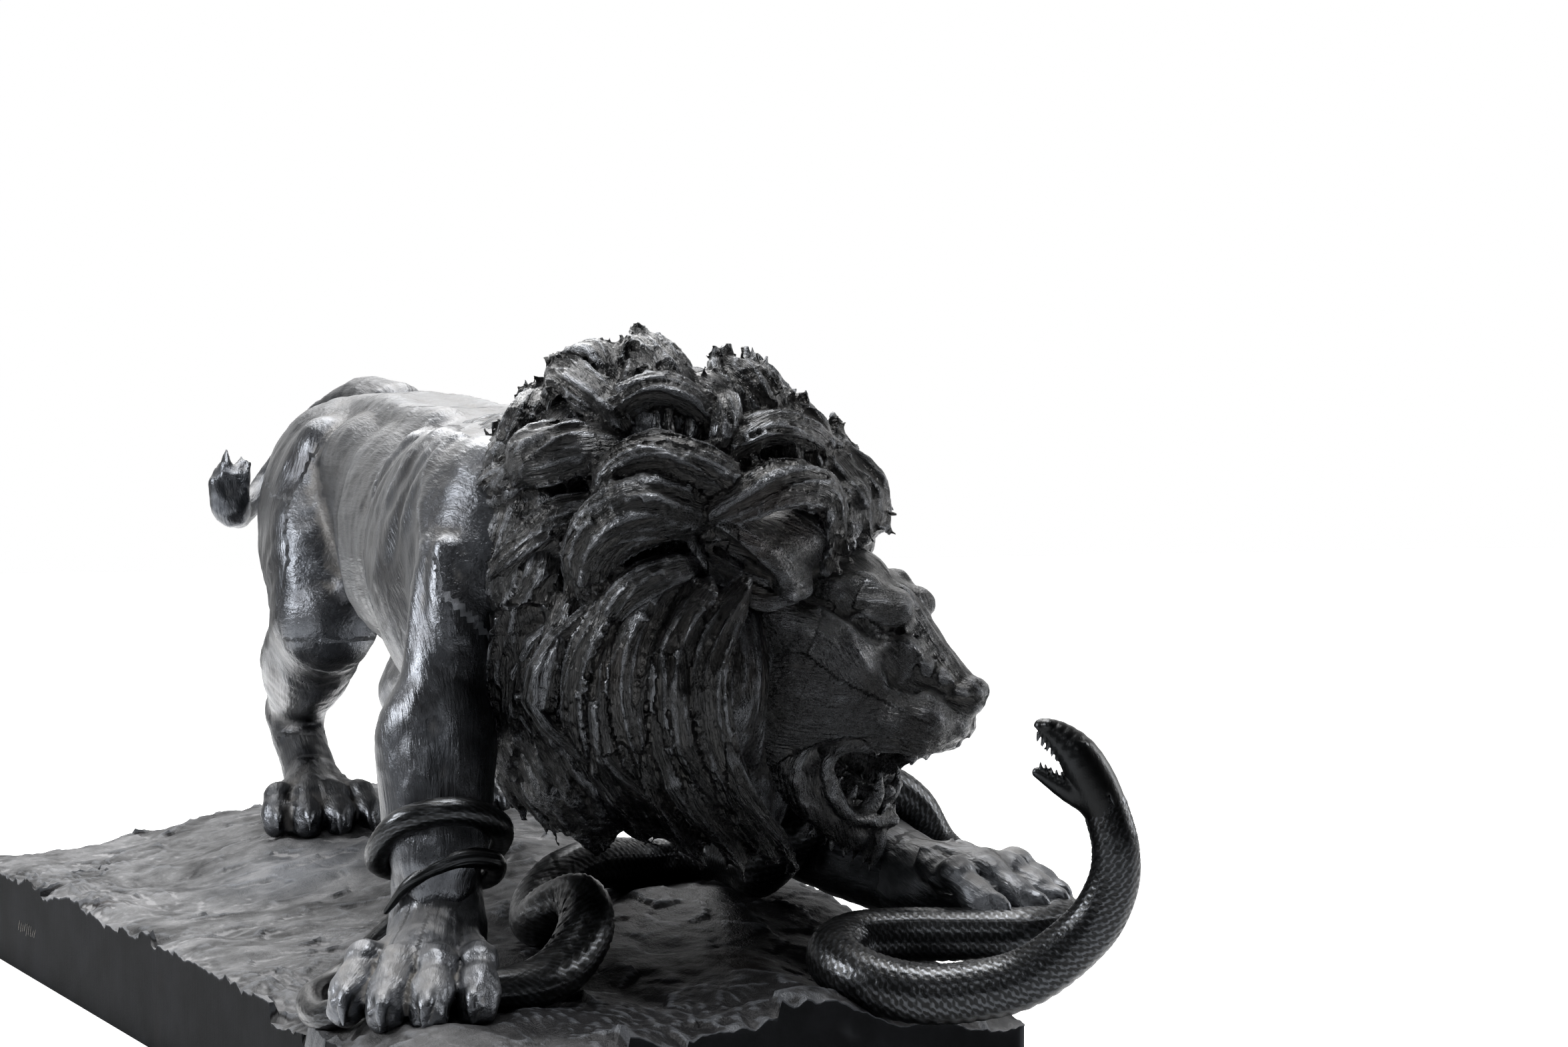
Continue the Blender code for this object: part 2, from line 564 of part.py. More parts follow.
# The snake from the wrist to the neck. Where the height is None it lies on the ground.
SNAKE_ROUTE = (
    (0.268, -0.156, None, 0.0088),
    (0.300, -0.188, None, 0.0092),
    (0.350, -0.198, None, 0.0096),
    (0.396, -0.188, None, 0.0100),
    (0.410, -0.158, None, 0.0110),
    (0.410, -0.120, None, 0.0125),
    (0.400, -0.085, None, 0.0138),
    (0.378, -0.052, 0.098, 0.0142),
    (0.352, -0.028, 0.116, 0.0145),
    (0.322, -0.022, 0.134, 0.0150),
    (0.286, -0.034, 0.124, 0.0160),
    (0.255, -0.036, 0.111, 0.0175),
    (0.222, -0.018, 0.115, 0.0195),
    (0.200, 0.016, 0.130, 0.0215),
    (0.182, 0.056, 0.138, 0.0225),
    (0.160, 0.100, 0.138, 0.0220),
    (0.164, 0.130, None, 0.0205),
    (0.196, 0.150, None, 0.0190),
    (0.240, 0.145, 0.132, 0.0178),
    (0.282, 0.133, 0.136, 0.0172),
    (0.306, 0.146, 0.160, 0.0168),
    (0.316, 0.170, 0.186, 0.0165),
    (0.318, 0.200, 0.192, 0.0165),
    (0.318, 0.227, 0.177, 0.0165),
    (0.324, 0.244, 0.148, 0.0165),
    (0.356, 0.260, 0.128, 0.0165),
    (0.412, 0.270, 0.119, 0.0165),
    (0.468, 0.250, 0.116, 0.0165),
    (0.478, 0.220, 0.114, 0.0165),
    (0.458, 0.186, 0.113, 0.0165),
    (0.436, 0.154, 0.112, 0.0170),
    (0.428, 0.122, 0.110, 0.0175),
    (0.446, 0.099, 0.104, 0.0178),
    (0.478, 0.098, 0.096, 0.0180),
    (0.508, 0.116, 0.090, 0.0182),
    (0.528, 0.142, 0.091, 0.0182),
    (0.548, 0.175, 0.101, 0.0178),
    (0.566, 0.204, 0.128, 0.0168),
    (0.577, 0.215, 0.155, 0.0155),
    (0.581, 0.215, 0.180, 0.0140),
    (0.577, 0.210, 0.205, 0.0133),
    (0.573, 0.203, 0.223, 0.0138),
    (0.568, 0.194, 0.239, 0.0120),
    (0.562, 0.184, 0.248, 0.0085),
    (0.557, 0.176, 0.251, 0.0045),
)
LOWER_JAW = ((0.574, 0.206, 0.212, 0.0085), (0.566, 0.190, 0.216, 0.0075), (0.558, 0.173, 0.225, 0.0030))


def snake_rows():
    """The middle line of the whole snake from tail tip to snout, as points with radii."""
    rows = wrist_turns()
    for x, y, height, radius in SNAKE_ROUTE:
        rows.append(((x, y, float(ground(x, y)) + 0.8 * radius if height is None else height), radius))
    return rows


def tube(rows, step, sides, swell=0.0):
    """A closed swept tube as points and faces. Rings follow the curve evenly, and swell makes it fatter."""
    fine = spline([np.r_[np.asarray(place, float), radius] for place, radius in rows], 12)
    run = np.r_[0.0, np.cumsum(np.linalg.norm(np.diff(fine[:, :3], axis=0), axis=1))]
    even = np.linspace(0.0, run[-1], max(2, round(run[-1] / step)) + 1)
    fine = np.stack([np.interp(even, run, fine[:, k]) for k in range(4)], axis=1)
    ways = np.gradient(fine[:, :3], axis=0)
    across = unit(np.cross(ways[0], [0.3, 0.2, 1.0]))
    points = []
    for row, way in zip(fine, ways):
        way = unit(way)
        across = unit(across - way * (across @ way))
        upward = np.cross(way, across)
        for k in range(sides):
            angle = 2.0 * math.pi * k / sides
            points.append(row[:3] + (row[3] + swell) * (across * math.cos(angle) + upward * math.sin(angle)))
    count = len(fine)
    faces = []
    for ring in range(count - 1):
        for k in range(sides):
            a, b = ring * sides + k, ring * sides + (k + 1) % sides
            faces.append((a, b, b + sides, a + sides))
    for ring, end, order in ((0, -1, -1), (count - 1, 1, 1)):
        tip = fine[ring, :3] + end * unit(ways[ring]) * 0.6 * (fine[ring, 3] + swell)
        points.append(tip)
        for k in range(sides):
            face = (ring * sides + k, ring * sides + (k + 1) % sides, len(points) - 1)
            faces.append(face[::order])
    return points, faces


def block(lift=0.0, skirt=0.0, floor=0.0):
    """The plinth as points and faces: walls that stand upright under a top that follows the ground.

    A lifted block with a skirt round it is what cuts the other castings to the ground.
    """
    xs = np.linspace(-0.5, 0.5, BASE_CELLS_LONG + 1) * BASE_LENGTH
    ys = np.linspace(-0.5, 0.5, BASE_CELLS_WIDE + 1) * BASE_WIDTH
    points = []
    for x in xs:
        for y in ys:
            at_corner = x in (xs[0], xs[-1]) and y in (ys[0], ys[-1])
            pull = 0.3 * CORNER_ROUND if at_corner else 0.0
            px, py = x - math.copysign(pull, x), y - math.copysign(pull, y)
            points.append((px, py, float(ground(px, py)) + lift))
    wide = len(ys)
    faces = []
    for i in range(len(xs) - 1):
        for j in range(wide - 1):
            a = i * wide + j
            faces.append((a, a + wide, a + wide + 1))
            faces.append((a, a + wide + 1, a + 1))
    rim = [i * wide for i in range(len(xs))]
    rim += [(len(xs) - 1) * wide + j for j in range(1, wide)]
    rim += [i * wide + wide - 1 for i in range(len(xs) - 2, -1, -1)]
    rim += list(range(wide - 2, 0, -1))
    rows = [rim]
    wider = np.array([1.0 + 2 * skirt / BASE_LENGTH, 1.0 + 2 * skirt / BASE_WIDTH])
    for sunk in (False, True) if skirt else (True,):
        first = len(points)
        for n in rim:
            x, y = np.array(points[n][:2]) * wider
            points.append((x, y, floor if sunk else points[n][2]))
        rows.append(list(range(first, len(points))))
    for upper, lower in zip(rows, rows[1:]):
        for k, after in enumerate(list(range(1, len(rim))) + [0]):
            faces.append((upper[k], lower[k], lower[after], upper[after]))
    faces.append(tuple(reversed(rows[-1])))
    return points, faces


def add_object(name, points, faces, material=None):
    """A mesh object in the scene. One without a material is a cutter, which isn't rendered."""
    mesh = bpy.data.meshes.new(name)
    mesh.from_pydata(np.asarray(points, float).tolist(), [], [tuple(int(n) for n in face) for face in faces])
    shape = bpy.data.objects.new(name, mesh)
    bpy.context.collection.objects.link(shape)
    if material is None:
        shape.hide_render = True
        shape.display_type = "WIRE"
    else:
        mesh.materials.append(material)
    return shape


def combine(shape, other, operation):
    """Cuts the other object from this one, or joins it on."""
    modifier = shape.modifiers.new(other.name, "BOOLEAN")
    modifier.operation = operation
    modifier.solver = "EXACT"
    modifier.object = other


def patinated_bronze():
    """The finish of all three castings."""
    material = bpy.data.materials.new("dark bronze")
    material.use_nodes = True
    shader = material.node_tree.nodes["Principled BSDF"]
    shader.inputs["Base Color"].default_value = BRONZE
    shader.inputs["Metallic"].default_value = 1.0
    shader.inputs["Roughness"].default_value = 0.42
    return material


def main():
    for old in list(bpy.data.objects):
        bpy.data.objects.remove(old)
    bronze = patinated_bronze()
    add_object("rocky_base", *block(), bronze)
    ground_cutter = add_object("ground_cutter", *block(FIT_GAP, 0.004, -0.01))
    serpent = add_object("serpent", *tube(snake_rows(), TUBE_STEP, TUBE_SIDES), bronze)
    serpent_cutter = add_object("serpent_cutter", *tube(snake_rows(), TUBE_STEP, TUBE_SIDES, FIT_GAP))
    jaw_rows = [((x, y, z), radius) for x, y, z, radius in LOWER_JAW]
    lower_jaw = add_object("lower_jaw", *tube(jaw_rows, 0.008, 8))
    combine(serpent, lower_jaw, "UNION")
    combine(serpent, ground_cutter, "DIFFERENCE")
    points, faces = model_lion().surface()
    lion = add_object("lion", points, faces, bronze)
    thinned = lion.modifiers.new("thinned", "DECIMATE")
    thinned.ratio = LION_TRIANGLES / (2.0 * len(faces))
    combine(lion, ground_cutter, "DIFFERENCE")
    combine(lion, serpent_cutter, "DIFFERENCE")


if __name__ == "__main__":
    main()
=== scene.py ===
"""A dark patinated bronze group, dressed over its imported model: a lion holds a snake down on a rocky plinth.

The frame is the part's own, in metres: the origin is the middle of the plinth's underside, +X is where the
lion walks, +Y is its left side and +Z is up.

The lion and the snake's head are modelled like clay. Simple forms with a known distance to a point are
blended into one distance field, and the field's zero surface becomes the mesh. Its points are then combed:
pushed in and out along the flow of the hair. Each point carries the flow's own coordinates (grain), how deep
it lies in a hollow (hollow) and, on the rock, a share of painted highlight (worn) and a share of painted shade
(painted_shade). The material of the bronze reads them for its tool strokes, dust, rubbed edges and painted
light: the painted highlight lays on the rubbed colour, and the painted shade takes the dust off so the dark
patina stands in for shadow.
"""

import logging
import math
from dataclasses import dataclass, field
from enum import Enum

import bpy
import numpy as np
from mathutils import Matrix, Vector


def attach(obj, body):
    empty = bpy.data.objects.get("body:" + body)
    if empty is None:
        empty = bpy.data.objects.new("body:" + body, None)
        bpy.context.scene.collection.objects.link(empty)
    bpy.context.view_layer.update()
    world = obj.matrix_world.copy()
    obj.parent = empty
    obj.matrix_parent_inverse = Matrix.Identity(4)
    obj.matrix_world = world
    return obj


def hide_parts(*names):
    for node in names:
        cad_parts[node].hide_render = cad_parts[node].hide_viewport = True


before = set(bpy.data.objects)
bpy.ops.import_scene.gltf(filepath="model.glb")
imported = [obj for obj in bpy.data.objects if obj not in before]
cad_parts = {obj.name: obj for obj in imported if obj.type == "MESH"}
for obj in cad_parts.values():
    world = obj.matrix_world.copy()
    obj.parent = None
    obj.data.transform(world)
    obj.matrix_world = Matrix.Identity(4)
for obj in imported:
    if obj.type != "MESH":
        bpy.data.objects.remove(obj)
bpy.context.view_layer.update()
LOG = logging.getLogger("lion_and_snake")

COARSENESS = 1.0
MILLIMETRE = 0.001


class Slot(Enum):
    """The record's material slots, one for each casting."""

    LION = "lion_bronze"
    SERPENT = "serpent_bronze"
    BASE = "base_bronze"


class Casting(Enum):
    """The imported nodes, one for each casting."""

    LION = "lion"
    SERPENT = "serpent"
    BASE = "rocky_base"


def unit(vector: np.ndarray) -> np.ndarray:
    """Gives the vector at length one."""
    vector = np.asarray(vector, float)
    return vector / np.linalg.norm(vector)


def ease(low: float, high: float, value: np.ndarray) -> np.ndarray:
    """Gives a smooth step from 0 at low to 1 at high."""
    t = np.clip((value - low) / (high - low), 0.0, 1.0)
    return t * t * (3.0 - 2.0 * t)


def hill(x: np.ndarray, y: np.ndarray, at: tuple[float, float], spread: float) -> np.ndarray:
    """Gives a round hill of height one."""
    return np.exp(-((x - at[0]) ** 2 + (y - at[1]) ** 2) / (2.0 * spread**2))


def spline(points: np.ndarray, pieces: int) -> np.ndarray:
    """Draws a smooth curve through points.

    Args:
        points: The points, with as many numbers each as wanted.
        pieces: How many pieces go between one point and the next.

    Returns:
        The points of the curve, both ends included.
    """
    points = np.asarray(points, float)
    ends = np.vstack([2 * points[0] - points[1], points, 2 * points[-1] - points[-2]])
    t = (np.arange(pieces) / pieces)[:, None]
    out = []
    for before, start, stop, after in zip(ends, ends[1:], ends[2:], ends[3:]):
        bend = 2 * before - 5 * start + 4 * stop - after
        twist = 3 * start - before - 3 * stop + after
        out.append(0.5 * (2 * start + (stop - before) * t + bend * t**2 + twist * t**3))
    return np.vstack(out + [points[-1:]])


class Grit:
    """Smooth noise on a grid of seeded random numbers, which repeats every 32 cells."""

    def __init__(self, seed: int) -> None:
        """Fills the grid.

        Args:
            seed: Sets the random numbers.
        """
        self.cells = np.random.default_rng(seed).uniform(-1.0, 1.0, (32, 32, 32)).astype(np.float32)

    def at(self, places: np.ndarray) -> np.ndarray:
        """Reads the noise.

        Args:
            places: Points as rows, in cells.

        Returns:
            A number from -1 to 1 for each.
        """
        places = np.asarray(places, np.float32)
        first = np.floor(places).astype(int)
        share = places - first
        share = share * share * (3.0 - 2.0 * share)
        total = np.zeros(places.shape[:-1], np.float32)
        for corner in np.ndindex(2, 2, 2):
            weight = np.prod(np.where(np.array(corner) == 1, share, 1.0 - share), axis=-1)
            index = (first + corner) % 32
            total += weight * self.cells[index[..., 0], index[..., 1], index[..., 2]]
        return total

    def fractal(self, places: np.ndarray, octaves: int = 3) -> np.ndarray:
        """Adds finer and weaker noise on top.

        Args:
            places: Points as rows, in cells of the coarsest noise.
            octaves: How many layers there are.

        Returns:
            A number for each, mostly from -1 to 1.
        """
        total = np.zeros(places.shape[:-1], np.float32)
        for octave in range(octaves):
            total += self.at(places * 2.03**octave + 7.7 * octave) * 0.55**octave
        return total


def ground_height(x: np.ndarray, y: np.ndarray) -> np.ndarray:
    """Gives the height of the plinth's top, which climbs from the near side and the front to the far side."""
    height = 0.076 + 0.040 * ease(-0.19, 0.13, y) * ease(0.47, 0.20, x)
    height = height + 0.012 * hill(x, y, (-0.23, -0.01), 0.07)
    height = height + 0.008 * hill(x, y, (-0.36, 0.12), 0.09)
    height = height + 0.012 * ease(0.30, 0.44, x) * ease(-0.02, 0.06, y) * ease(0.12, 0.07, y)
    height = height + 0.007 * hill(x, y, (0.38, -0.14), 0.05)
    height = height - 0.012 * ease(0.24, 0.34, x) * ease(-0.17, -0.205, y)
    height = height - 0.008 * ease(0.42, 0.50, x) * ease(0.08, 0.14, y)
    ripple = np.sin(31.0 * x + 9.0 * y) * np.sin(23.0 * y - 12.0 * x + 1.3)
    ripple = ripple + 0.6 * np.sin(67.0 * x - 41.0 * y) * np.sin(53.0 * y + 29.0 * x)
    return height + 0.0022 * ripple


def pairs(rows: tuple) -> list:
    """Splits rows of x, y, z and a radius into places with their radii."""
    return [(np.array(row[:3]), row[3]) for row in rows]


@dataclass
class BodyLine:
    """The line of the lion's trunk over the plinth."""

    hips: tuple[float, float] = (-0.27, 0.09)
    turn: float = math.radians(-10.6)

    def at(self, forward: float, side: float, height: float) -> np.ndarray:
        """Gives a place by its distance ahead of the hips, its distance to the left, and its height."""
        along = np.array([math.cos(self.turn), math.sin(self.turn)])
        left = np.array([-math.sin(self.turn), math.cos(self.turn)])
        return np.append(np.array(self.hips) + along * forward + left * side, height)

    def limb(self, rows: tuple, side: int = 1, pieces: int = 3) -> "Limb":
        """Gives a bar through places by distance ahead, out to a side and up, each with a radius."""
        return Limb([(self.at(f, side * s, z), r) for f, s, z, r in rows], pieces)


@dataclass
class HeadLine:
    """Where the middle of the skull is and where the nose points."""

    skull: tuple[float, float, float] = (0.3216, 0.117, 0.3314)
    ahead: tuple[float, float, float] = (0.675, 0.611, -0.413)

    def axes(self) -> np.ndarray:
        """Gives the head's own forward, left and up as rows."""
        forward = unit(self.ahead)
        left = unit(np.cross([0.0, 0.0, 1.0], forward))
        return np.array([forward, left, np.cross(forward, left)])

    def at(self, forward: float, side: float, up: float) -> np.ndarray:
        """Gives a place in the head by its distances from the skull's middle, in millimetres."""
        return np.array(self.skull) + MILLIMETRE * (np.array([forward, side, up]) @ self.axes())

    def limb(
        self, rows: tuple, side: int = 1, normal: np.ndarray | None = None, flatness: float = 1.0
    ) -> "Limb":
        """Gives a bar through places ahead, out to a side and up, each with a radius, all in millimetres."""
        return Limb([(self.at(f, side * s, u), MILLIMETRE * r) for f, s, u, r in rows], 3, normal, flatness)


@dataclass
class ManeShell:
    """An upright egg round the neck and the back of the skull, on which the locks lie."""

    middle: tuple[float, float, float] = (0.272, 0.068, 0.333)
    reach: tuple[float, float, float] = (0.128, 0.128, 0.166)

    def at(self, azimuth: float, elevation: float, lift: float = 0.0) -> np.ndarray:
        """Gives a place by its two angles in degrees, raised off the shell by lift."""
        turn, rise = math.radians(azimuth), math.radians(elevation)
        way = np.array([math.cos(rise) * math.cos(turn), math.cos(rise) * math.sin(turn), math.sin(rise)])
        return np.array(self.middle) + way * (np.array(self.reach) + lift)

    def outward(self, place: np.ndarray) -> np.ndarray:
        """Gives the way straight off the shell at a place."""
        return unit((place - np.array(self.middle)) / np.array(self.reach) ** 2)


BODY = BodyLine()
HEAD = HeadLine()
SHELL = ManeShell()


class Egg:
    """An ellipsoid with its three radii along three axes at right angles."""

    def __init__(
        self, middle: np.ndarray, radii: tuple[float, float, float], axes: np.ndarray | None = None
    ) -> None:
        """Sets the egg.

        Args:
            middle: Its middle.
            radii: Its radii along its axes.
            axes: The axes as rows, or the world's own.
        """
        self.middle = np.asarray(middle, np.float32)
        self.radii = np.asarray(radii, np.float32)
        self.axes = (np.eye(3) if axes is None else np.asarray(axes)).astype(np.float32)

    def box(self) -> tuple[np.ndarray, np.ndarray]:
        """Gives the lowest and highest corner."""
        reach = np.sqrt(((self.axes * self.radii[:, None]) ** 2).sum(axis=0))
        return self.middle - reach, self.middle + reach

    def distance(self, points: np.ndarray) -> np.ndarray:
        """Gives about how far each point is outside the egg, or less than zero inside."""
        local = (points - self.middle) @ self.axes.T
        scaled = np.linalg.norm(local / self.radii, axis=-1)
        steep = np.linalg.norm(local / self.radii**2, axis=-1)
        return scaled * (scaled - 1.0) / np.maximum(steep, 1e-6)


class Limb:
    """A round bar along a curve, thicker or thinner from point to point, and pressed flat if asked."""

    def __init__(
        self, rows: list, pieces: int = 3, normal: np.ndarray | None = None, flatness: float = 1.0
    ) -> None:
        """Sets the bar.

        Args:
            rows: A place and a radius for each point.
            pieces: How many straight pieces go between one point and the next.
            normal: The way in which the bar is pressed flat.
            flatness: How many times thinner it is that way.
        """
        rows = spline([np.r_[np.asarray(place, float), radius] for place, radius in rows], pieces)
        self.places = rows[:, :3].astype(np.float32)
        self.radii = np.maximum(rows[:, 3], 0.0004).astype(np.float32)
        self.normal = None if normal is None else unit(normal).astype(np.float32)
        self.flatness = flatness

    def box(self) -> tuple[np.ndarray, np.ndarray]:
        """Gives the lowest and highest corner."""
        reach = self.radii[:, None]
        return (self.places - reach).min(axis=0), (self.places + reach).max(axis=0)

    def distance(self, points: np.ndarray) -> np.ndarray:
        """Gives about how far each point is outside the bar, or less than zero inside."""
        nearest = None
        for start, stop, thick, thin in zip(self.places, self.places[1:], self.radii, self.radii[1:]):
            way = stop - start
            offset = points - start
            share = np.clip(offset @ (way / max(float(way @ way), 1e-12)), 0.0, 1.0)
            offset = offset - share[..., None] * way
            square = (offset * offset).sum(axis=-1)
            if self.normal is not None:
                across = offset @ self.normal
                square = square + across**2 * (self.flatness**2 - 1.0)
            gap = np.sqrt(square) - (thick + (thin - thick) * share)
            nearest = gap if nearest is None else np.minimum(nearest, gap)
        return nearest


class Guide:
    """A line that hair or tool strokes follow, with a frame that turns as little as it can along it."""

    def __init__(self, rows: list, upward: np.ndarray, pieces: int = 3) -> None:
        """Sets the line.

        Args:
            rows: A place and a radius for each point.
            upward: About which way the surface over the line faces.
            pieces: How many straight pieces go between one point and the next.
        """
        rows = spline([np.r_[np.asarray(place, float), radius] for place, radius in rows], pieces)
        self.places, self.radii = rows[:, :3], rows[:, 3]
        self.run = np.r_[0.0, np.cumsum(np.linalg.norm(np.diff(self.places, axis=0), axis=1))]
        ways = np.gradient(self.places, axis=0)
        across = []
        last = unit(np.cross(upward, ways[0]) + 1e-9)
        for way in ways:
            way = unit(way)
            last = unit(last - way * (last @ way))
            across.append(last)
        self.across = np.array(across)
        self.upward = np.cross(ways / np.linalg.norm(ways, axis=1)[:, None], self.across)

    def near(self, points: np.ndarray, margin: float) -> np.ndarray:
        """Gives which points lie in the guide's box, grown by a margin."""
        reach = self.radii[:, None] + margin
        low, high = (self.places - reach).min(axis=0), (self.places + reach).max(axis=0)
        return np.flatnonzero(((points > low) & (points < high)).all(axis=1))

    def grain(self, points: np.ndarray) -> tuple[np.ndarray, np.ndarray]:
        """Measures points along and across the line.

        Args:
            points: Points as rows.

        Returns:
            How far each is off the line's round bar, and its place across, above and along the line.
        """
        best = np.full(len(points), 9.0)
        grain = np.zeros((len(points), 3))
        for k in range(len(self.places) - 1):
            start, way = self.places[k], self.places[k + 1] - self.places[k]
            offset = points - start
            share = np.clip(offset @ way / max(way @ way, 1e-12), 0.0, 1.0)
            side = offset - share[:, None] * way
            gap = np.linalg.norm(side, axis=1) - (self.radii[k] + (self.radii[k + 1] - self.radii[k]) * share)
            closer = gap < best
            best = np.where(closer, gap, best)
            turn = share[:, None]
            across = self.across[k] * (1 - turn) + self.across[k + 1] * turn
            upward = self.upward[k] * (1 - turn) + self.upward[k + 1] * turn
            along = self.run[k] + (self.run[k + 1] - self.run[k]) * share
            local = np.stack([(side * across).sum(axis=1), (side * upward).sum(axis=1), along], axis=1)
            grain[closer] = local[closer]
        return best, grain


def split_cells() -> np.ndarray:
    """Finds the patterns of cell corners in which a surface would touch itself.

    Returns:
        For each of the 256 patterns of corners inside the surface, whether it does.
    """
    corners = [(i, j, k) for i in (0, 1) for j in (0, 1) for k in (0, 1)]

    def in_one(chosen: list) -> bool:
        """Tells whether the corners hang together along the cell's edges."""
        if not chosen:
            return True
        reached = {chosen[0]}
        for _ in range(8):
            reached |= {c for c in chosen for r in reached if sum(abs(a - b) for a, b in zip(c, r)) == 1}
        return len(reached) == len(chosen)

    split = np.zeros(256, bool)
    for code in range(256):
        inside = [c for n, c in enumerate(corners) if code >> n & 1]
        outside = [c for n, c in enumerate(corners) if not code >> n & 1]
        split[code] = not (in_one(inside) and in_one(outside))
    return split


@dataclass
class Clay:
    """Forms that are joined on and cut out in turn, and the mesh of what they make."""

    step: float
    smallest_shell: int = 400
    forms: list = field(default_factory=list)

    # What the field says where no form has reached, and how often settling is tried
    FAR_OFF = 0.2
    ROUNDS = 30

    def add(self, form: Egg | Limb, blend: float) -> None:
        """Joins a form on, with a fillet about as wide as blend."""
        self.forms.append((form, blend, False))

    def cut(self, form: Egg | Limb, blend: float) -> None:
        """Takes a form out, and rounds the edge."""
        self.forms.append((form, blend, True))

    def _window(self, form: Egg | Limb, margin: float) -> tuple[tuple, np.ndarray]:
        """Gives the grid cells that a form can change, and their places."""
        low, high = form.box()
        first = np.maximum(((low - margin - self.low) / self.step).astype(int), 0)
        last = np.minimum(((high + margin - self.low) / self.step).astype(int) + 2, self.count)
        last = np.maximum(last, first)
        cells = tuple(slice(a, b) for a, b in zip(first, last))
        lines = [
            (self.low[i] + self.step * np.arange(first[i], last[i])).astype(np.float32) for i in range(3)
        ]
        return cells, np.stack(np.meshgrid(*lines, indexing="ij"), axis=-1)

    def model(self, floor: float | None = None) -> None:
        """Works all the forms into the field, in turn.

        Args:
            floor: How far under the ground the clay is cut off, if it is.
        """
        boxes = [form.box() for form, _, cut in self.forms if not cut]
        margin = 4 * self.step
        self.low = np.min([low for low, _ in boxes], axis=0).astype(float) - margin
        high = np.max([high for _, high in boxes], axis=0) + margin
        self.count = np.ceil((high - self.low) / self.step).astype(int) + 1
        self.field = np.full(self.count, self.FAR_OFF, np.float32)
        for form, blend, cut in self.forms:
            cells, points = self._window(form, blend + 2 * self.step)
            new = form.distance(points)
            old = self.field[cells]
            if cut:
                overlap = np.maximum(blend - np.abs(old + new), 0.0)
                self.field[cells] = np.maximum(old, -new) + overlap**2 / (4.0 * blend)
            else:
                overlap = np.maximum(blend - np.abs(old - new), 0.0)
                self.field[cells] = np.minimum(old, new) - overlap**2 / (4.0 * blend)
        if floor is not None:
            x, y, z = (self.low[i] + self.step * np.arange(self.count[i]) for i in range(3))
            ground = ground_height(x[:, None], y[None, :]) - floor
            self.field = np.maximum(self.field, (ground[:, :, None] - z[None, None, :]).astype(np.float32))

    def settle(self) -> None:
        """Fills the cells in which the surface would touch itself."""
        split = split_cells()
        nx, ny, nz = self.count - 1
        for _ in range(self.ROUNDS):
            code = np.zeros((nx, ny, nz), np.uint8)
            inside = self.field < 0
            for n, (i, j, k) in enumerate(np.ndindex(2, 2, 2)):
                code |= inside[i : nx + i, j : ny + j, k : nz + k].astype(np.uint8) << n
            cells = np.argwhere(split[code])
            if not len(cells):
                return
            for corner in np.ndindex(2, 2, 2):
                spot = tuple((cells + corner).T)
                self.field[spot] = np.minimum(self.field[spot], -0.05 * self.step)

    def surface(self) -> tuple[np.ndarray, np.ndarray]:
        """Takes the zero surface off the field.

        Returns:
            Its points, one in each grid cell that it passes, and its four-sided faces.
        """
        self.settle()
        cell_count = self.count - 1
        rings, crossings = [], []
        for axis in range(3):
            first = self.field[tuple(slice(0, -1) if k == axis else slice(None) for k in range(3))]
            second = self.field[tuple(slice(1, None) if k == axis else slice(None) for k in range(3))]
            index = np.argwhere((first < 0) != (second < 0))
            start, stop = first[tuple(index.T)], second[tuple(index.T)]
            place = index.astype(float)
            place[:, axis] += start / (start - stop)
            ring = []
            for back_across, back_other in ((0, 0), (1, 0), (1, 1), (0, 1)):
                cell = index.copy()
                cell[:, (axis + 1) % 3] -= back_across
                cell[:, (axis + 2) % 3] -= back_other
                ring.append((cell[:, 0] * cell_count[1] + cell[:, 1]) * cell_count[2] + cell[:, 2])
                crossings.append(place)
            ring = np.stack(ring, axis=1)
            rings.append((ring, start < 0))
        every = np.concatenate([ring[:, k] for ring, _ in rings for k in range(4)])
        _, number = np.unique(every, return_inverse=True)
        hits = np.bincount(number)
        total = np.stack(
            [np.bincount(number, np.concatenate([c[:, k] for c in crossings])) for k in range(3)], 1
        )
        points = self.low + self.step * total / hits[:, None]
        faces, first = [], 0
        for ring, outward in rings:
            named = number[first : first + ring.size].reshape(4, -1).T
            first += ring.size
            faces.append(np.where(outward[:, None], named, named[:, ::-1]))
        return without_crumbs(points, np.vstack(faces), self.smallest_shell)


def without_crumbs(points: np.ndarray, faces: np.ndarray, smallest: int) -> tuple[np.ndarray, np.ndarray]:
    """Drops closed hollows and loose crumbs.

    Args:
        points: The mesh's points.
        faces: Its four-sided faces.
        smallest: The fewest points that a shell may have.

    Returns:
        The points and faces of the shells that are left.
    """
    label = np.arange(len(points))
    first, second = faces.ravel(), np.roll(faces, -1, axis=1).ravel()
    while True:
        low = np.minimum(label[first], label[second])
        new = label.copy()
        np.minimum.at(new, first, low)
        np.minimum.at(new, second, low)
        new = new[new]
        if (new == label).all():
            break
        label = new
    size = np.bincount(label, minlength=len(points))
    spread = points[faces]
    volume = np.einsum("ij,ij->i", spread[:, 0], np.cross(spread[:, 1], spread[:, 2]))
    volume += np.einsum("ij,ij->i", spread[:, 0], np.cross(spread[:, 2], spread[:, 3]))
    solid = np.bincount(label[faces[:, 0]], volume, minlength=len(points)) > 0
    kept = (size[label] >= smallest) & solid[label]
    number = np.cumsum(kept) - 1
    return points[kept], number[faces[kept[faces[:, 0]]]]


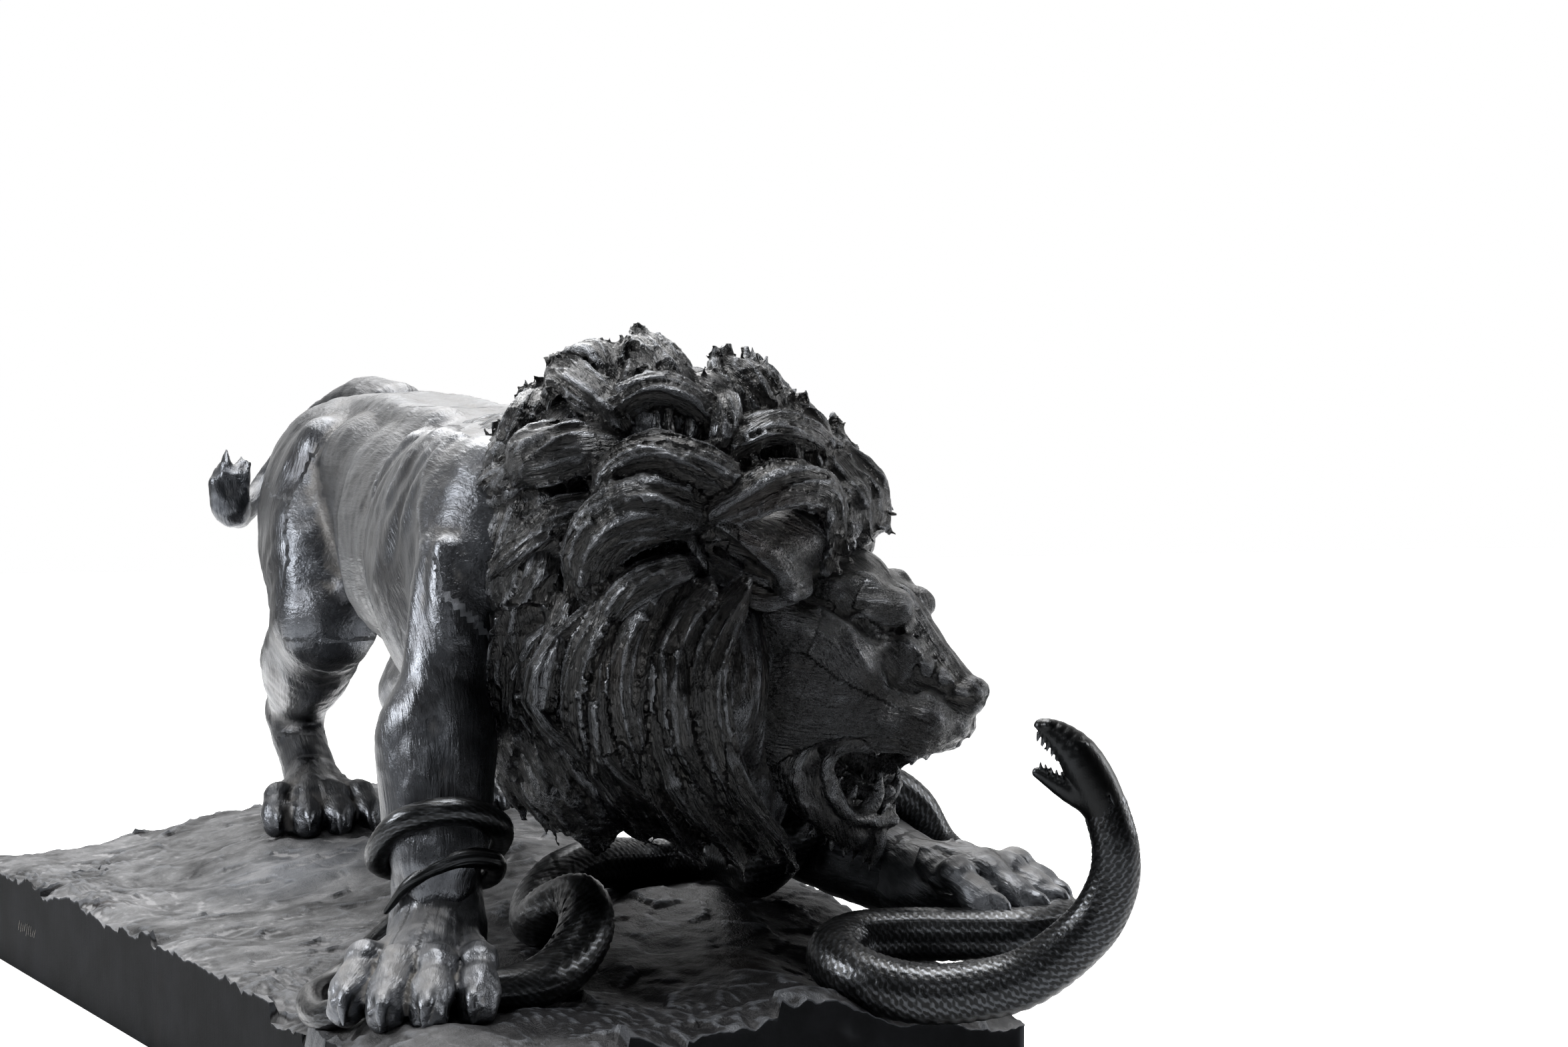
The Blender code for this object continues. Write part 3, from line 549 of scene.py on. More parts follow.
class Skin:
    """A mesh of four-sided faces that is being finished: combed, smoothed and measured."""

    def __init__(self, points: np.ndarray, faces: np.ndarray) -> None:
        """Takes over a mesh.

        Args:
            points: Its points.
            faces: Its four-sided faces.
        """
        self.points, self.faces = points, faces
        self.grain = points / MILLIMETRE
        edges = np.stack([faces, np.roll(faces, -1, axis=1)], axis=-1).reshape(-1, 2)
        self.edges = np.unique(np.sort(edges, axis=1), axis=0)
        self.valence = np.maximum(np.bincount(self.edges.ravel(), minlength=len(points)), 1)

    def normals(self) -> np.ndarray:
        """Gives the outward way at each point."""
        corners = self.points[self.faces]
        flat = np.cross(corners[:, 2] - corners[:, 0], corners[:, 3] - corners[:, 1])
        total = np.zeros_like(self.points)
        for corner in range(4):
            for axis in range(3):
                total[:, axis] += np.bincount(
                    self.faces[:, corner], flat[:, axis], minlength=len(self.points)
                )
        return total / np.maximum(np.linalg.norm(total, axis=1), 1e-12)[:, None]

    def averaged(self, values: np.ndarray, times: int) -> np.ndarray:
        """Averages rows of values with their neighbours' again and again."""
        first, second = self.edges.T
        for _ in range(times):
            total = np.empty_like(values)
            for axis in range(values.shape[1]):
                total[:, axis] = np.bincount(first, values[second, axis], minlength=len(values))
                total[:, axis] += np.bincount(second, values[first, axis], minlength=len(values))
            values = 0.5 * values + 0.5 * total / self.valence[:, None]
        return values

    def follow(self, guides: list, margin: float = 0.02) -> None:
        """Sets each point's grain, in millimetres, from the guide that it lies nearest to.

        Args:
            guides: The guides.
            margin: How far from its bar a guide reaches.
        """
        best = np.full(len(self.points), 9.0)
        for n, guide in enumerate(guides):
            index = guide.near(self.points, margin)
            if not len(index):
                continue
            gap, grain = guide.grain(self.points[index])
            closer = gap < best[index]
            best[index[closer]] = gap[closer]
            # Each guide reads another stretch of the noise
            self.grain[index[closer]] = grain[closer] / MILLIMETRE + 61.0 * n

    def comb(self, grit: Grit, across: float, along: float, depth: float) -> None:
        """Presses strokes into the surface along the grain.

        Args:
            grit: The noise that sets them.
            across: Their width in millimetres.
            along: Their length in millimetres.
            depth: Their depth in metres.
        """
        height = grit.at(self.grain / np.array([across, across, along]))
        height = np.sign(height) * np.abs(height) ** 0.7 - 0.45
        self.points = self.points + self.normals() * (depth * height)[:, None]

    def knead(self, grit: Grit, size: float, depth: float) -> None:
        """Presses soft uneven dents of about a size into the surface, as a modeller's thumb does."""
        height = grit.fractal(self.points / size, 3)
        self.points = self.points + self.normals() * (depth * height)[:, None]

    def hollow(self, times: int = 10) -> np.ndarray:
        """Gives how many millimetres each point lies under the averaged surface, below zero over it."""
        smooth = self.averaged(self.points, times)
        return ((smooth - self.points) * self.normals()).sum(axis=1) / MILLIMETRE


@dataclass
class Trunk:
    """The lion's trunk from rump to chest, with its muscles and ribs."""

    rib_count: int = 6

    def shape(self, clay: Clay) -> None:
        """Adds the trunk to the clay."""
        spine = ((-0.045, 0, 0.392, 0.066), (0.06, 0, 0.388, 0.078), (0.18, 0, 0.376, 0.078))
        spine += ((0.30, 0, 0.358, 0.088), (0.43, 0, 0.335, 0.100))
        clay.add(BODY.limb(spine), 0.02)
        # Rump, flank, shoulder, loin and rib cage: place, radii and blend
        masses = (
            ((-0.025, 0.045, 0.395), (0.080, 0.046, 0.066), 0.025),
            ((0.26, 0.036, 0.350), (0.12, 0.050, 0.078), 0.030),
            ((0.52, 0.044, 0.360), (0.056, 0.036, 0.066), 0.020),
            ((0.13, 0.046, 0.408), (0.085, 0.030, 0.034), 0.016),
            ((0.43, 0.050, 0.352), (0.076, 0.040, 0.078), 0.007),
        )
        for side in (-1, 1):
            for (forward, out, height), radii, blend in masses:
                clay.add(Egg(BODY.at(forward, side * out, height), radii), blend)
        belly = (
            (0.10, 0, 0.348, 0.050), (0.24, 0, 0.335, 0.056), (0.36, 0, 0.315, 0.064), (0.47, 0, 0.290, 0.076)
        )
        clay.add(BODY.limb(belly), 0.04)
        clay.add(Egg(BODY.at(0.50, 0.01, 0.30), (0.085, 0.078, 0.092)), 0.04)
        for side in (-1, 1):
            self.muscles(clay, side)

    def muscles(self, clay: Clay, side: int) -> None:
        """Adds the ribs, the haunch's and the shoulder's muscles and the hollows between them."""
        for rib in range(self.rib_count):
            forward = 0.345 + 0.030 * rib
            rows = ((forward, 0.054, 0.425, 0.005), (forward - 0.006, 0.078, 0.385, 0.006))
            rows += ((forward - 0.016, 0.081, 0.340, 0.006), (forward - 0.030, 0.068, 0.300, 0.005))
            clay.add(BODY.limb(rows, side, 2), 0.014)
        # The flank's hollow ahead of the thigh, and the fold of skin that runs from the stifle to the belly
        clay.cut(Egg(BODY.at(0.190, side * 0.104, 0.372), (0.030, 0.018, 0.050)), 0.024)
        clay.cut(BODY.limb(((0.350, 0.100, 0.430, 0.010), (0.335, 0.106, 0.380, 0.014)), side), 0.016)
        fold = ((0.078, 0.074, 0.300, 0.010), (0.118, 0.062, 0.312, 0.009), (0.165, 0.046, 0.298, 0.008))
        clay.add(BODY.limb(fold, side, 2), 0.014)
        # The haunch: rump, hip and the muscles down the outside and the front of the thigh
        clay.add(Egg(BODY.at(-0.045, side * 0.064, 0.416), (0.050, 0.028, 0.036)), 0.010)
        clay.add(Egg(BODY.at(0.028, side * 0.070, 0.402), (0.036, 0.030, 0.044)), 0.010)
        outer = ((-0.062, 0.076, 0.400, 0.024), (-0.030, 0.084, 0.345, 0.030), (0.034, 0.090, 0.290, 0.018))
        front = ((0.030, 0.080, 0.388, 0.024), (0.066, 0.086, 0.340, 0.027), (0.086, 0.086, 0.290, 0.018))
        # The shoulder blade's spine and the muscle behind it
        blade = ((0.485, 0.052, 0.408, 0.012), (0.525, 0.070, 0.378, 0.014), (0.555, 0.078, 0.330, 0.016))
        behind = ((0.462, 0.048, 0.404, 0.018), (0.490, 0.064, 0.368, 0.021), (0.525, 0.070, 0.318, 0.020))
        # The long muscle beside the spine
        back = ((-0.02, 0.030, 0.450, 0.012), (0.10, 0.030, 0.448, 0.014))
        back += ((0.22, 0.032, 0.438, 0.015), (0.33, 0.030, 0.432, 0.016))
        for rows, blend in ((outer, 0.016), (front, 0.014), (blade, 0.016), (behind, 0.016), (back, 0.010)):
            clay.add(BODY.limb(rows, side), blend)

    def guides(self) -> list[Guide]:
        """Gives the lines that the hair follows over the trunk."""
        spine = [(BODY.at(f, 0.0, 0.36), 0.07) for f in (0.55, 0.40, 0.25, 0.10, -0.02, -0.10)]
        found = [Guide(spine, np.array([0.0, 0.0, 1.0]))]
        for side in (-1, 1):
            out = np.array([0.0, float(side), 0.2])
            shoulder = [(BODY.at(0.38, side * 0.07, 0.43), 0.03), (BODY.at(0.45, side * 0.09, 0.30), 0.035)]
            rows = ((-0.03, 0.06, 0.43, 0.03), (-0.01, 0.08, 0.34, 0.05), (0.02, 0.08, 0.27, 0.04))
            rows += ((-0.05, 0.076, 0.225, 0.034), (-0.10, 0.07, 0.19, 0.02))
            haunch = [(BODY.at(f, side * s, z), r) for f, s, z, r in rows]
            found += [Guide(shoulder, out), Guide(haunch, out)]
        return found


@dataclass
class Paw:
    """A foot ahead of its wrist: four knuckled toes with hooked claws."""

    wrist: np.ndarray
    heading: float
    floor: float
    spread: float
    tall: float
    reach: float

    def point(self, along: float, out: float, high: float) -> np.ndarray:
        """Gives a place by its shares of the reach ahead, of the spread to the left and of the height."""
        ahead = np.array([math.cos(self.heading), math.sin(self.heading), 0.0])
        left = np.array([-ahead[1], ahead[0], 0.0])
        place = self.wrist + ahead * along * self.reach + left * out * self.spread
        place[2] = self.floor + high * self.tall
        return place

    def shape(self, clay: Clay) -> None:
        """Adds the foot to the clay."""
        instep = self.point(0.5, 0.0, 0.50)
        clay.add(Limb([(self.wrist, 0.66 * self.spread), (instep, 0.70 * self.spread)]), 0.012)
        size = 0.300 * self.spread
        for place in (-1.5, -0.5, 0.5, 1.5):
            short = 1.0 - 0.08 * place**2
            # The tendon over the instep, the knuckles, and the pinch between them
            tendon = [
                self.point(a * short, place * o, h)
                for a, o, h in ((0.18, 0.34, 1.2), (0.45, 0.42, 0.98), (0.68, 0.54, 0.86))
            ]
            clay.add(
                Limb([(tendon[0], 0.35 * size), (tendon[1], 0.50 * size), (tendon[2], 0.62 * size)], 2), 0.004
            )
            rows = []
            for along, out, high, thick in (
                (0.46, 0.46, 0.72, 0.80),
                (0.64, 0.56, 0.88, 1.02),
                (0.76, 0.59, 0.70, 0.92),
                (0.90, 0.62, 0.50, 1.10),
                (1.02, 0.64, 0.22, 0.96),
            ):
                rows.append((self.point(along * short, place * out, high), thick * size))
            clay.add(Limb(rows, 3), 0.0022)
            self.claw(clay, place, short, size)
        # The fifth claw, high on the inner side
        inner = 1.0 if self.wrist[1] < 0 else -1.0
        dew = [
            self.point(a, inner * o, h)
            for a, o, h in ((0.20, 0.55, 0.95), (0.36, 0.86, 0.80), (0.50, 0.92, 0.52))
        ]
        clay.add(Limb([(dew[0], 0.80 * size), (dew[1], 0.62 * size), (dew[2], 0.16 * size)], 2), 0.003)

    def claw(self, clay: Clay, place: float, short: float, size: float) -> None:
        """Adds one claw with the sheath that it comes out of."""
        tip = self.point(0.98 * short, place * 0.62, 0.26)
        ahead = np.array([math.cos(self.heading), math.sin(self.heading), 0.0])
        sheath = [(tip + ahead * size * 0.20 + [0, 0, 0.80 * size], 0.56 * size)]
        sheath.append((tip + ahead * size * 0.86 + [0, 0, 0.62 * size], 0.46 * size))
        clay.add(Limb(sheath, 1), 0.0015)
        hook = ((0.62, 0.80, 0.38), (1.08, 0.66, 0.38), (1.42, 0.10, 0.30), (1.46, -0.78, 0.08))
        clay.add(Limb([(tip + ahead * size * a + [0, 0, h * size], r * size) for a, h, r in hook], 2), 0.0008)

    def guides(self) -> list[Guide]:
        """Gives the lines that the hair follows over the foot, one for each toe."""
        found = []
        for place in (-1.5, -0.5, 0.5, 1.5):
            rows = [
                (self.point(a, place * o, h), 0.012)
                for a, o, h in ((0.0, 0.30, 1.4), (0.5, 0.46, 0.66), (1.0, 0.6, 0.3))
            ]
            found.append(Guide(rows, np.array([0.0, 0.0, 1.0])))
        return found


@dataclass
class HindLeg:
    """A hind leg from the hip to the foot."""

    side: int
    hock: np.ndarray
    foot: np.ndarray
    heading: float

    def shape(self, clay: Clay) -> None:
        """Adds the leg to the clay."""
        side, hock, foot = self.side, self.hock, self.foot
        hip = BODY.at(-0.02, side * 0.052, 0.380)
        stifle = BODY.at(0.075, side * 0.076, 0.285)
        sit_bone = BODY.at(-0.100, side * 0.046, 0.385)
        clay.add(Limb([(hip, 0.060), (0.5 * (hip + stifle) + [0, 0, 0.005], 0.056), (stifle, 0.038)]), 0.022)
        mid_back = 0.62 * sit_bone + 0.38 * hock
        calf = 0.5 * (mid_back + hock)
        clay.add(Limb([(sit_bone, 0.044), (mid_back, 0.042), (calf + [0.015, 0, 0], 0.026)]), 0.020)
        shank = 0.55 * stifle + 0.45 * hock
        clay.add(Limb([(stifle, 0.038), (shank, 0.035), (hock + [0.010, 0, 0.012], 0.025)]), 0.016)
        clay.add(Limb([(calf, 0.017), (hock + [-0.012, 0, 0.008], 0.015)]), 0.010)
        pastern = 0.5 * (hock + foot)
        clay.add(Limb([(hock - [0.006, 0, 0], 0.023), (pastern, 0.022), (foot, 0.023)]), 0.010)
        # The kneecap, the calf's two muscles, the heel bone and the cords on the pastern
        out = np.array([0.0, side * 0.020, 0.0])
        clay.add(Egg(stifle + 0.6 * out + [0.018, 0, 0.004], (0.022, 0.016, 0.022)), 0.008)
        clay.add(
            Limb(
                [(stifle + out, 0.018), (shank + out + [-0.008, 0, 0.004], 0.020), (hock + 0.3 * out, 0.010)]
            ),
            0.007,
        )
        clay.add(Limb([(mid_back + out, 0.022), (calf + 0.6 * out + [0.006, 0, 0], 0.015)]), 0.007)
        clay.add(Egg(hock + [-0.018, 0, 0.006], (0.012, 0.012, 0.016)), 0.006)
        for across in (-0.010, 0.0, 0.010):
            cord = [
                (hock + [0.012, across, -0.006], 0.006),
                (pastern + [0.012, across, 0], 0.007),
                (foot + [0.014, 1.3 * across, 0], 0.008),
            ]
            clay.add(Limb(cord), 0.004)
        self.paw().shape(clay)

    def paw(self) -> Paw:
        """Gives the leg's foot."""
        ahead = self.foot[:2] + 0.03 * np.array([math.cos(self.heading), math.sin(self.heading)])
        return Paw(self.foot, self.heading, float(ground_height(*ahead)) - 0.004, 0.039, 0.032, 0.070)

    def guides(self) -> list[Guide]:
        """Gives the lines that the hair follows down the leg."""
        out = np.array([0.0, float(self.side), 0.0])
        stifle = BODY.at(0.075, self.side * 0.076, 0.285)
        thigh = [
            (BODY.at(-0.02, self.side * 0.06, 0.42), 0.05), (0.5 * (stifle + self.hock) + [0, 0, 0.05], 0.045)
        ]
        thigh += [(self.hock, 0.022), (self.foot, 0.022)]
        return [Guide(thigh, out)] + self.paw().guides()


class Forelegs:
    """The near foreleg, which stands, and the far one, which reaches forward close to the ground."""

    WRIST = np.array([0.318, -0.1125, 0.1155])
    ELBOW = np.array([0.286, -0.101, 0.235])
    FAR_WRIST = np.array([0.378, 0.203, 0.134])
    FAR_ELBOW = np.array([0.225, 0.172, 0.168])

    def shape_near(self, clay: Clay) -> None:
        """Adds the near leg from the shoulder to the wrist."""
        elbow, wrist = self.ELBOW, self.WRIST
        arm = ((0.252, -0.040, 0.385, 0.038), (0.268, -0.062, 0.345, 0.034), (0.276, -0.080, 0.312, 0.030))
        arm += ((0.284, -0.092, 0.282, 0.027), (0.289, -0.099, 0.258, 0.027), (0.288, -0.101, 0.232, 0.033))
        clay.add(Limb(pairs(arm)), 0.014)
        forearm = 0.5 * (elbow + wrist)
        rows = [
            (elbow, 0.038),
            (forearm + [0, 0, 0.012], 0.035),
            (wrist + [0, 0, 0.046], 0.0285),
            (wrist + [0, 0, 0.016], 0.021),
        ]
        clay.add(Limb(rows), 0.014)
        # The arm's two ridges, the point under them and the groove over the forearm
        front = ((0.280, -0.091, 0.352, 0.010), (0.288, -0.096, 0.325, 0.011), (0.297, -0.094, 0.300, 0.013))
        outer = ((0.262, -0.090, 0.352, 0.011), (0.274, -0.102, 0.305, 0.012), (0.284, -0.108, 0.272, 0.012))
        for ridge in (front, outer):
            clay.add(Limb(pairs(ridge)), 0.005)
        clay.cut(Limb(pairs(((0.314, -0.122, 0.272, 0.0045), (0.323, -0.119, 0.246, 0.0055)))), 0.007)
        clay.cut(Limb(pairs(((0.326, -0.128, 0.240, 0.003), (0.334, -0.131, 0.190, 0.003)))), 0.006)
        # The forearm's long muscles, which stand out under the elbow and thin to cords at the wrist
        muscles = (
            (-100, 0.023, 0.015, 0.018), (-42, 0.028, 0.014, 0.024), (8, 0.027, 0.015, 0.022),
            (-160, 0.015, 0.014, 0.013),
        )
        for turn, start, thick, low in muscles:
            out = np.array([math.cos(math.radians(turn)), math.sin(math.radians(turn)), 0.0])
            rows = [
                (elbow + out * (start - 0.008) + [0, 0, 0.012], 0.5 * thick),
                (elbow + out * start + [0.004, 0, -0.016], thick),
            ]
            rows += [
                (forearm + out * low + [0, 0, 0.004], thick * 0.78),
                (wrist + out * 0.020 + [0, 0, 0.026], 0.007),
            ]
            clay.add(Limb(rows), 0.004)

    def shape_far(self, clay: Clay) -> None:
        """Adds the far leg from the shoulder to the wrist."""
        elbow, wrist = self.FAR_ELBOW, self.FAR_WRIST
        rows = [(BODY.at(0.45, 0.066, 0.33), 0.055), (np.array([0.235, 0.150, 0.25]), 0.046), (elbow, 0.038)]
        clay.add(Limb(rows), 0.02)
        middle = 0.5 * (elbow + wrist)
        clay.add(Limb([(elbow, 0.037), (middle, 0.034), (wrist, 0.027)]), 0.014)
        for turn, thick in ((60, 0.015), (100, 0.014), (20, 0.013), (150, 0.014)):
            out = np.array([-0.2, math.cos(math.radians(turn)), math.sin(math.radians(turn))])
            rows = [(elbow + out * 0.025, thick), (middle + out * 0.022, thick), (wrist + out * 0.017, 0.009)]
            clay.add(Limb(rows), 0.004)

    def near_paw(self) -> Paw:
        """Gives the near foot, which stands on the snake."""
        return Paw(self.WRIST, math.radians(-31.0), 0.078, 0.041, 0.036, 0.110)

    def far_paw(self) -> Paw:
        """Gives the far foot, which holds the coil down."""
        return Paw(self.FAR_WRIST, math.radians(24.0), 0.118, 0.038, 0.034, 0.090)

    def guides(self) -> list[Guide]:
        """Gives the lines that the hair follows down both legs."""
        near = [(BODY.at(0.45, -0.09, 0.37), 0.04), (self.ELBOW, 0.038), (self.WRIST, 0.028)]
        far = [(BODY.at(0.45, 0.07, 0.33), 0.05), (self.FAR_ELBOW, 0.037), (self.FAR_WRIST, 0.027)]
        found = [Guide(near, np.array([0.3, -1.0, 0.0])), Guide(far, np.array([0.0, 0.3, 1.0]))]
        return found + self.near_paw().guides() + self.far_paw().guides()


@dataclass
class Tail:
    """The tail leaves the rump level, drops on the near side and ends in a curled tuft."""

    route: tuple = (
        ((-0.330, 0.105, 0.446), 0.030),
        ((-0.405, 0.103, 0.460), 0.022),
        ((-0.462, 0.080, 0.440), 0.015),
        ((-0.474, 0.054, 0.408), 0.012),
        ((-0.462, 0.026, 0.378), 0.011),
        ((-0.440, 0.004, 0.364), 0.012),
    )
    tuft: tuple = (
        ((-0.446, 0.006, 0.366), 0.008),
        ((-0.426, -0.006, 0.368), 0.012),
        ((-0.418, -0.012, 0.386), 0.011),
        ((-0.426, -0.006, 0.404), 0.003),
    )

    def shape(self, clay: Clay, random: np.random.Generator) -> None:
        """Adds the tail and the locks of its tuft."""
        clay.add(Limb(self.route, 3), 0.012)
        for lock in range(7):
            turn = 2.0 * math.pi * lock / 7.0
            off = 0.006 * np.array([0.3 * math.cos(turn), math.cos(turn), math.sin(turn)])
            rows = [
                (np.array(place) + off * (0.6 + 0.5 * k), 0.75 * radius)
                for k, (place, radius) in enumerate(self.tuft)
            ]
            rows[-1] = (rows[-1][0] + random.uniform(-0.004, 0.004, 3), 0.002)
            clay.add(Limb(rows, 2), 0.0015)

    def guides(self) -> list[Guide]:
        """Gives the line that the hair follows along the tail."""
        return [Guide(list(self.route) + list(self.tuft[2:]), np.array([0.0, 0.2, 1.0]))]


@dataclass
class Head:
    """The snarling head: skull, brows, muzzle, cheeks, ears, and the open mouth with tongue and teeth."""

    def egg(self, clay: Clay, place: tuple, radii: tuple, blend: float) -> None:
        """Adds an egg given in the head's millimetres."""
        clay.add(Egg(HEAD.at(*place), MILLIMETRE * np.array(radii), HEAD.axes()), blend)

    def bar(self, clay: Clay, rows: tuple, side: int, blend: float, cut: bool = False) -> None:
        """Adds or cuts a bar.

        Args:
            clay: The clay.
            rows: The distances ahead, out to the side and up, and the radius, of each point, in millimetres.
            side: 1 for the left side, -1 for the right.
            blend: The width of the fillet.
            cut: Whether the bar is taken out.
        """
        change = clay.cut if cut else clay.add
        change(HEAD.limb(rows, side), blend)

    def shape(self, clay: Clay) -> None:
        """Adds the whole head to the clay."""
        self.egg(clay, (8, 0, 0), (60, 56, 48), 0.02)
        self.egg(clay, (54, 0, 10), (38, 40, 35), 0.02)
        self.bar(clay, ((92, 0, 8, 25), (122, 0, -10, 23), (144, 0, -21, 17)), 1, 0.012)
        self.bar(clay, ((88, 0, 22, 13), (113, 0, 9, 12), (136, 0, -1, 11), (153, 0, -6, 10)), 1, 0.008)
        for side in (-1, 1):
            self.masses(clay, side)
        self.mouth(clay)
        for side in (-1, 1):
            self.eye(clay, side)
            self.muzzle(clay, side)
            self.lips(clay, side)
            self.ear(clay, side)
        self.nose(clay)
        self.teeth(clay)

    def masses(self, clay: Clay, side: int) -> None:
        """Adds the cheekbones, the cheek muscles and the jaw."""
        self.egg(clay, (80, side * 26, 22), (20, 17, 15), 0.012)
        self.egg(clay, (106, side * 25, -10), (17, 10, 16), 0.010)
        self.bar(clay, ((92, 40, -8, 11), (62, 54, -8, 13), (35, 58, -6, 14)), side, 0.012)
        self.egg(clay, (68, side * 40, -38), (40, 26, 40), 0.015)
        self.bar(
            clay, ((154, 8, -28, 12), (138, 19, -38, 16), (116, 30, -46, 15), (98, 39, -62, 11)), side, 0.007
        )
        self.bar(clay, ((40, 40, -70, 24), (88, 30, -104, 17), (124, 10, -120, 13)), side, 0.012)
        self.egg(clay, (56, side * 52, -50), (30, 16, 34), 0.010)

    def mouth(self, clay: Clay) -> None:
        """Cuts the mouth out, with its depth behind the teeth."""
        gape = ((92, 0, -82, 17), (122, 0, -76, 21), (160, 0, -72, 25))
        clay.cut(HEAD.limb(gape, 1, HEAD.axes()[1], 0.72), 0.004)
        self.bar(clay, ((74, 0, -92, 12), (104, 0, -96, 9), (122, 0, -94, 7), (132, 0, -88, 5)), 1, 0.003)
        self.bar(clay, ((80, 0, -87, 2.5), (104, 0, -88, 2), (124, 0, -87.5, 1.5)), 1, 0.003, cut=True)
        # The far cheek's inside, which closes the view through the mouth
        self.bar(clay, ((134, 27, -58, 5), (120, 33, -72, 8), (108, 34, -92, 9)), 1, 0.004)
        self.bar(clay, ((140, 22, -52, 6), (122, 33, -58, 9), (100, 38, -66, 11)), 1, 0.004)
        self.egg(clay, (95, 30, -83), (13, 8, 11), 0.004)
        for ridge in range(6):
            forward = 100 + 8 * ridge
            self.bar(
                clay,
                ((forward, -14, -60, 1.6), (forward + 4, 0, -56, 2.2), (forward, 14, -60, 1.6)),
                1,
                0.002,
            )

    def eye(self, clay: Clay, side: int) -> None:
        """Adds the brow, the eye between its lids, and the folds round it."""
        self.egg(clay, (93, side * 22, 27), (12.5, 11.5, 11), 0.0035)
        self.egg(clay, (72, side * 32, 34), (9, 8.5, 7), 0.005)
        self.egg(clay, (58, side * 38, 22), (16, 11, 11), 0.010)
        self.bar(clay, ((104, 18, 12, 3), (94, 33, 12, 5), (80, 41, 13, 3.5)), side, 0.003, cut=True)
        self.egg(clay, (85, side * 33, 12), (8.0, 7.5, 7.0), 0.0008)
        self.bar(
            clay, ((98, 25, 16, 3.0), (91, 35.5, 18, 3.8), (82, 41, 17, 3.4), (74, 44, 11, 2.2)), side, 0.0010
        )
        self.bar(
            clay, ((99, 25, 11, 2.0), (93, 35, 6.5, 2.6), (84, 40.5, 6, 2.4), (76, 43, 9, 1.8)), side, 0.0012
        )
        self.bar(clay, ((103, 26, 6, 3.6), (95, 38, -1, 5.4), (84, 45, -2, 5.0), (72, 49, 3, 3)), side, 0.002)
        self.bar(
            clay, ((112, 22, 10, 2.4), (106, 30, 0, 3.2), (98, 38, -8, 3.0), (90, 44, -10, 2)), side, 0.003
        )
        self.bar(clay, ((97, 14, 26, 1.6), (102, 16, 17, 2.0), (106, 18, 8, 1.8)), side, 0.003, cut=True)
        self.bar(clay, ((100, 34, -9, 1.7), (90, 44, -14, 2.0), (76, 50, -12, 1.8)), side, 0.004, cut=True)
        # The ridge of the cheekbone, from under the eye down towards the lip
        self.bar(
            clay, ((56, 54, 9, 3), (78, 51, 3, 4.6), (96, 47, -8, 4.6), (110, 39, -20, 3.0)), side, 0.006
        )
        self.egg(clay, (42, side * 58, -12), (22, 8, 12), 0.008)
        # The furrow of the frown beside the middle of the forehead
        self.bar(clay, ((70, 7, 46, 1.6), (86, 8, 38, 2.2), (98, 9, 27, 2.0)), side, 0.005, cut=True)

    def muzzle(self, clay: Clay, side: int) -> None:
        """Adds the snarl's folds beside the nose and the whisker pads."""
        self.egg(clay, (123, side * 20, 0), (12, 9.5, 8.0), 0.0018)
        self.egg(clay, (137, side * 17, -2), (8.0, 7.5, 6.4), 0.0018)
        self.egg(clay, (111, side * 24, 7), (11, 8, 7), 0.003)
        self.bar(clay, ((108, 22, 8, 2.6), (116, 27, -4, 3.0), (118, 31, -16, 2.6)), side, 0.004)
        self.bar(clay, ((112, 18, 12, 1.5), (120, 25, 4, 1.8), (126, 28, -8, 1.6)), side, 0.003, cut=True)
        self.bar(clay, ((128, 16, 7, 1.2), (133, 22, 1, 1.5), (137, 23, -9, 1.4)), side, 0.0025, cut=True)
        self.egg(clay, (137, side * 23, -27), (20, 15, 16), 0.006)
        self.egg(clay, (117, side * 31, -36), (21, 14, 17), 0.008)
        # Four lines of whisker roots along the pad
        for row in range(4):
            up = -13 - 6.5 * row
            line = (
                (148, 15 + row, up, 0.9),
                (132, 29, up - 3, 1.5),
                (114, 37, up - 5, 1.2),
                (104, 41, up - 3, 0.8),
            )
            self.bar(clay, line, side, 0.002, cut=True)

    def nose(self, clay: Clay) -> None:
        """Adds the nose's leather with the wings of its nostrils."""
        self.egg(clay, (156, 0, -3), (10, 13, 8), 0.003)
        self.egg(clay, (161, 0, -12), (5, 8, 7), 0.003)
        for side in (-1, 1):
            self.egg(clay, (152, side * 12, -7), (8.5, 5.5, 6), 0.002)
            self.bar(
                clay, ((166, 5, -7, 2.0), (160, 11, -9, 2.6), (151, 16, -12, 1.6)), side, 0.0015, cut=True
            )
            self.bar(clay, ((140, 14, -3, 1.2), (150, 18, -2, 1.4), (158, 15, 3, 1.0)), side, 0.002, cut=True)
        self.bar(clay, ((167, 0, -14, 1.2), (163, 0, -22, 1.3), (162, 0, -34, 1.2)), 1, 0.002, cut=True)
        self.bar(clay, ((110, 0, 27, 1.0), (130, 0, 17, 1.6), (150, 0, 8, 1.2)), 1, 0.004, cut=True)

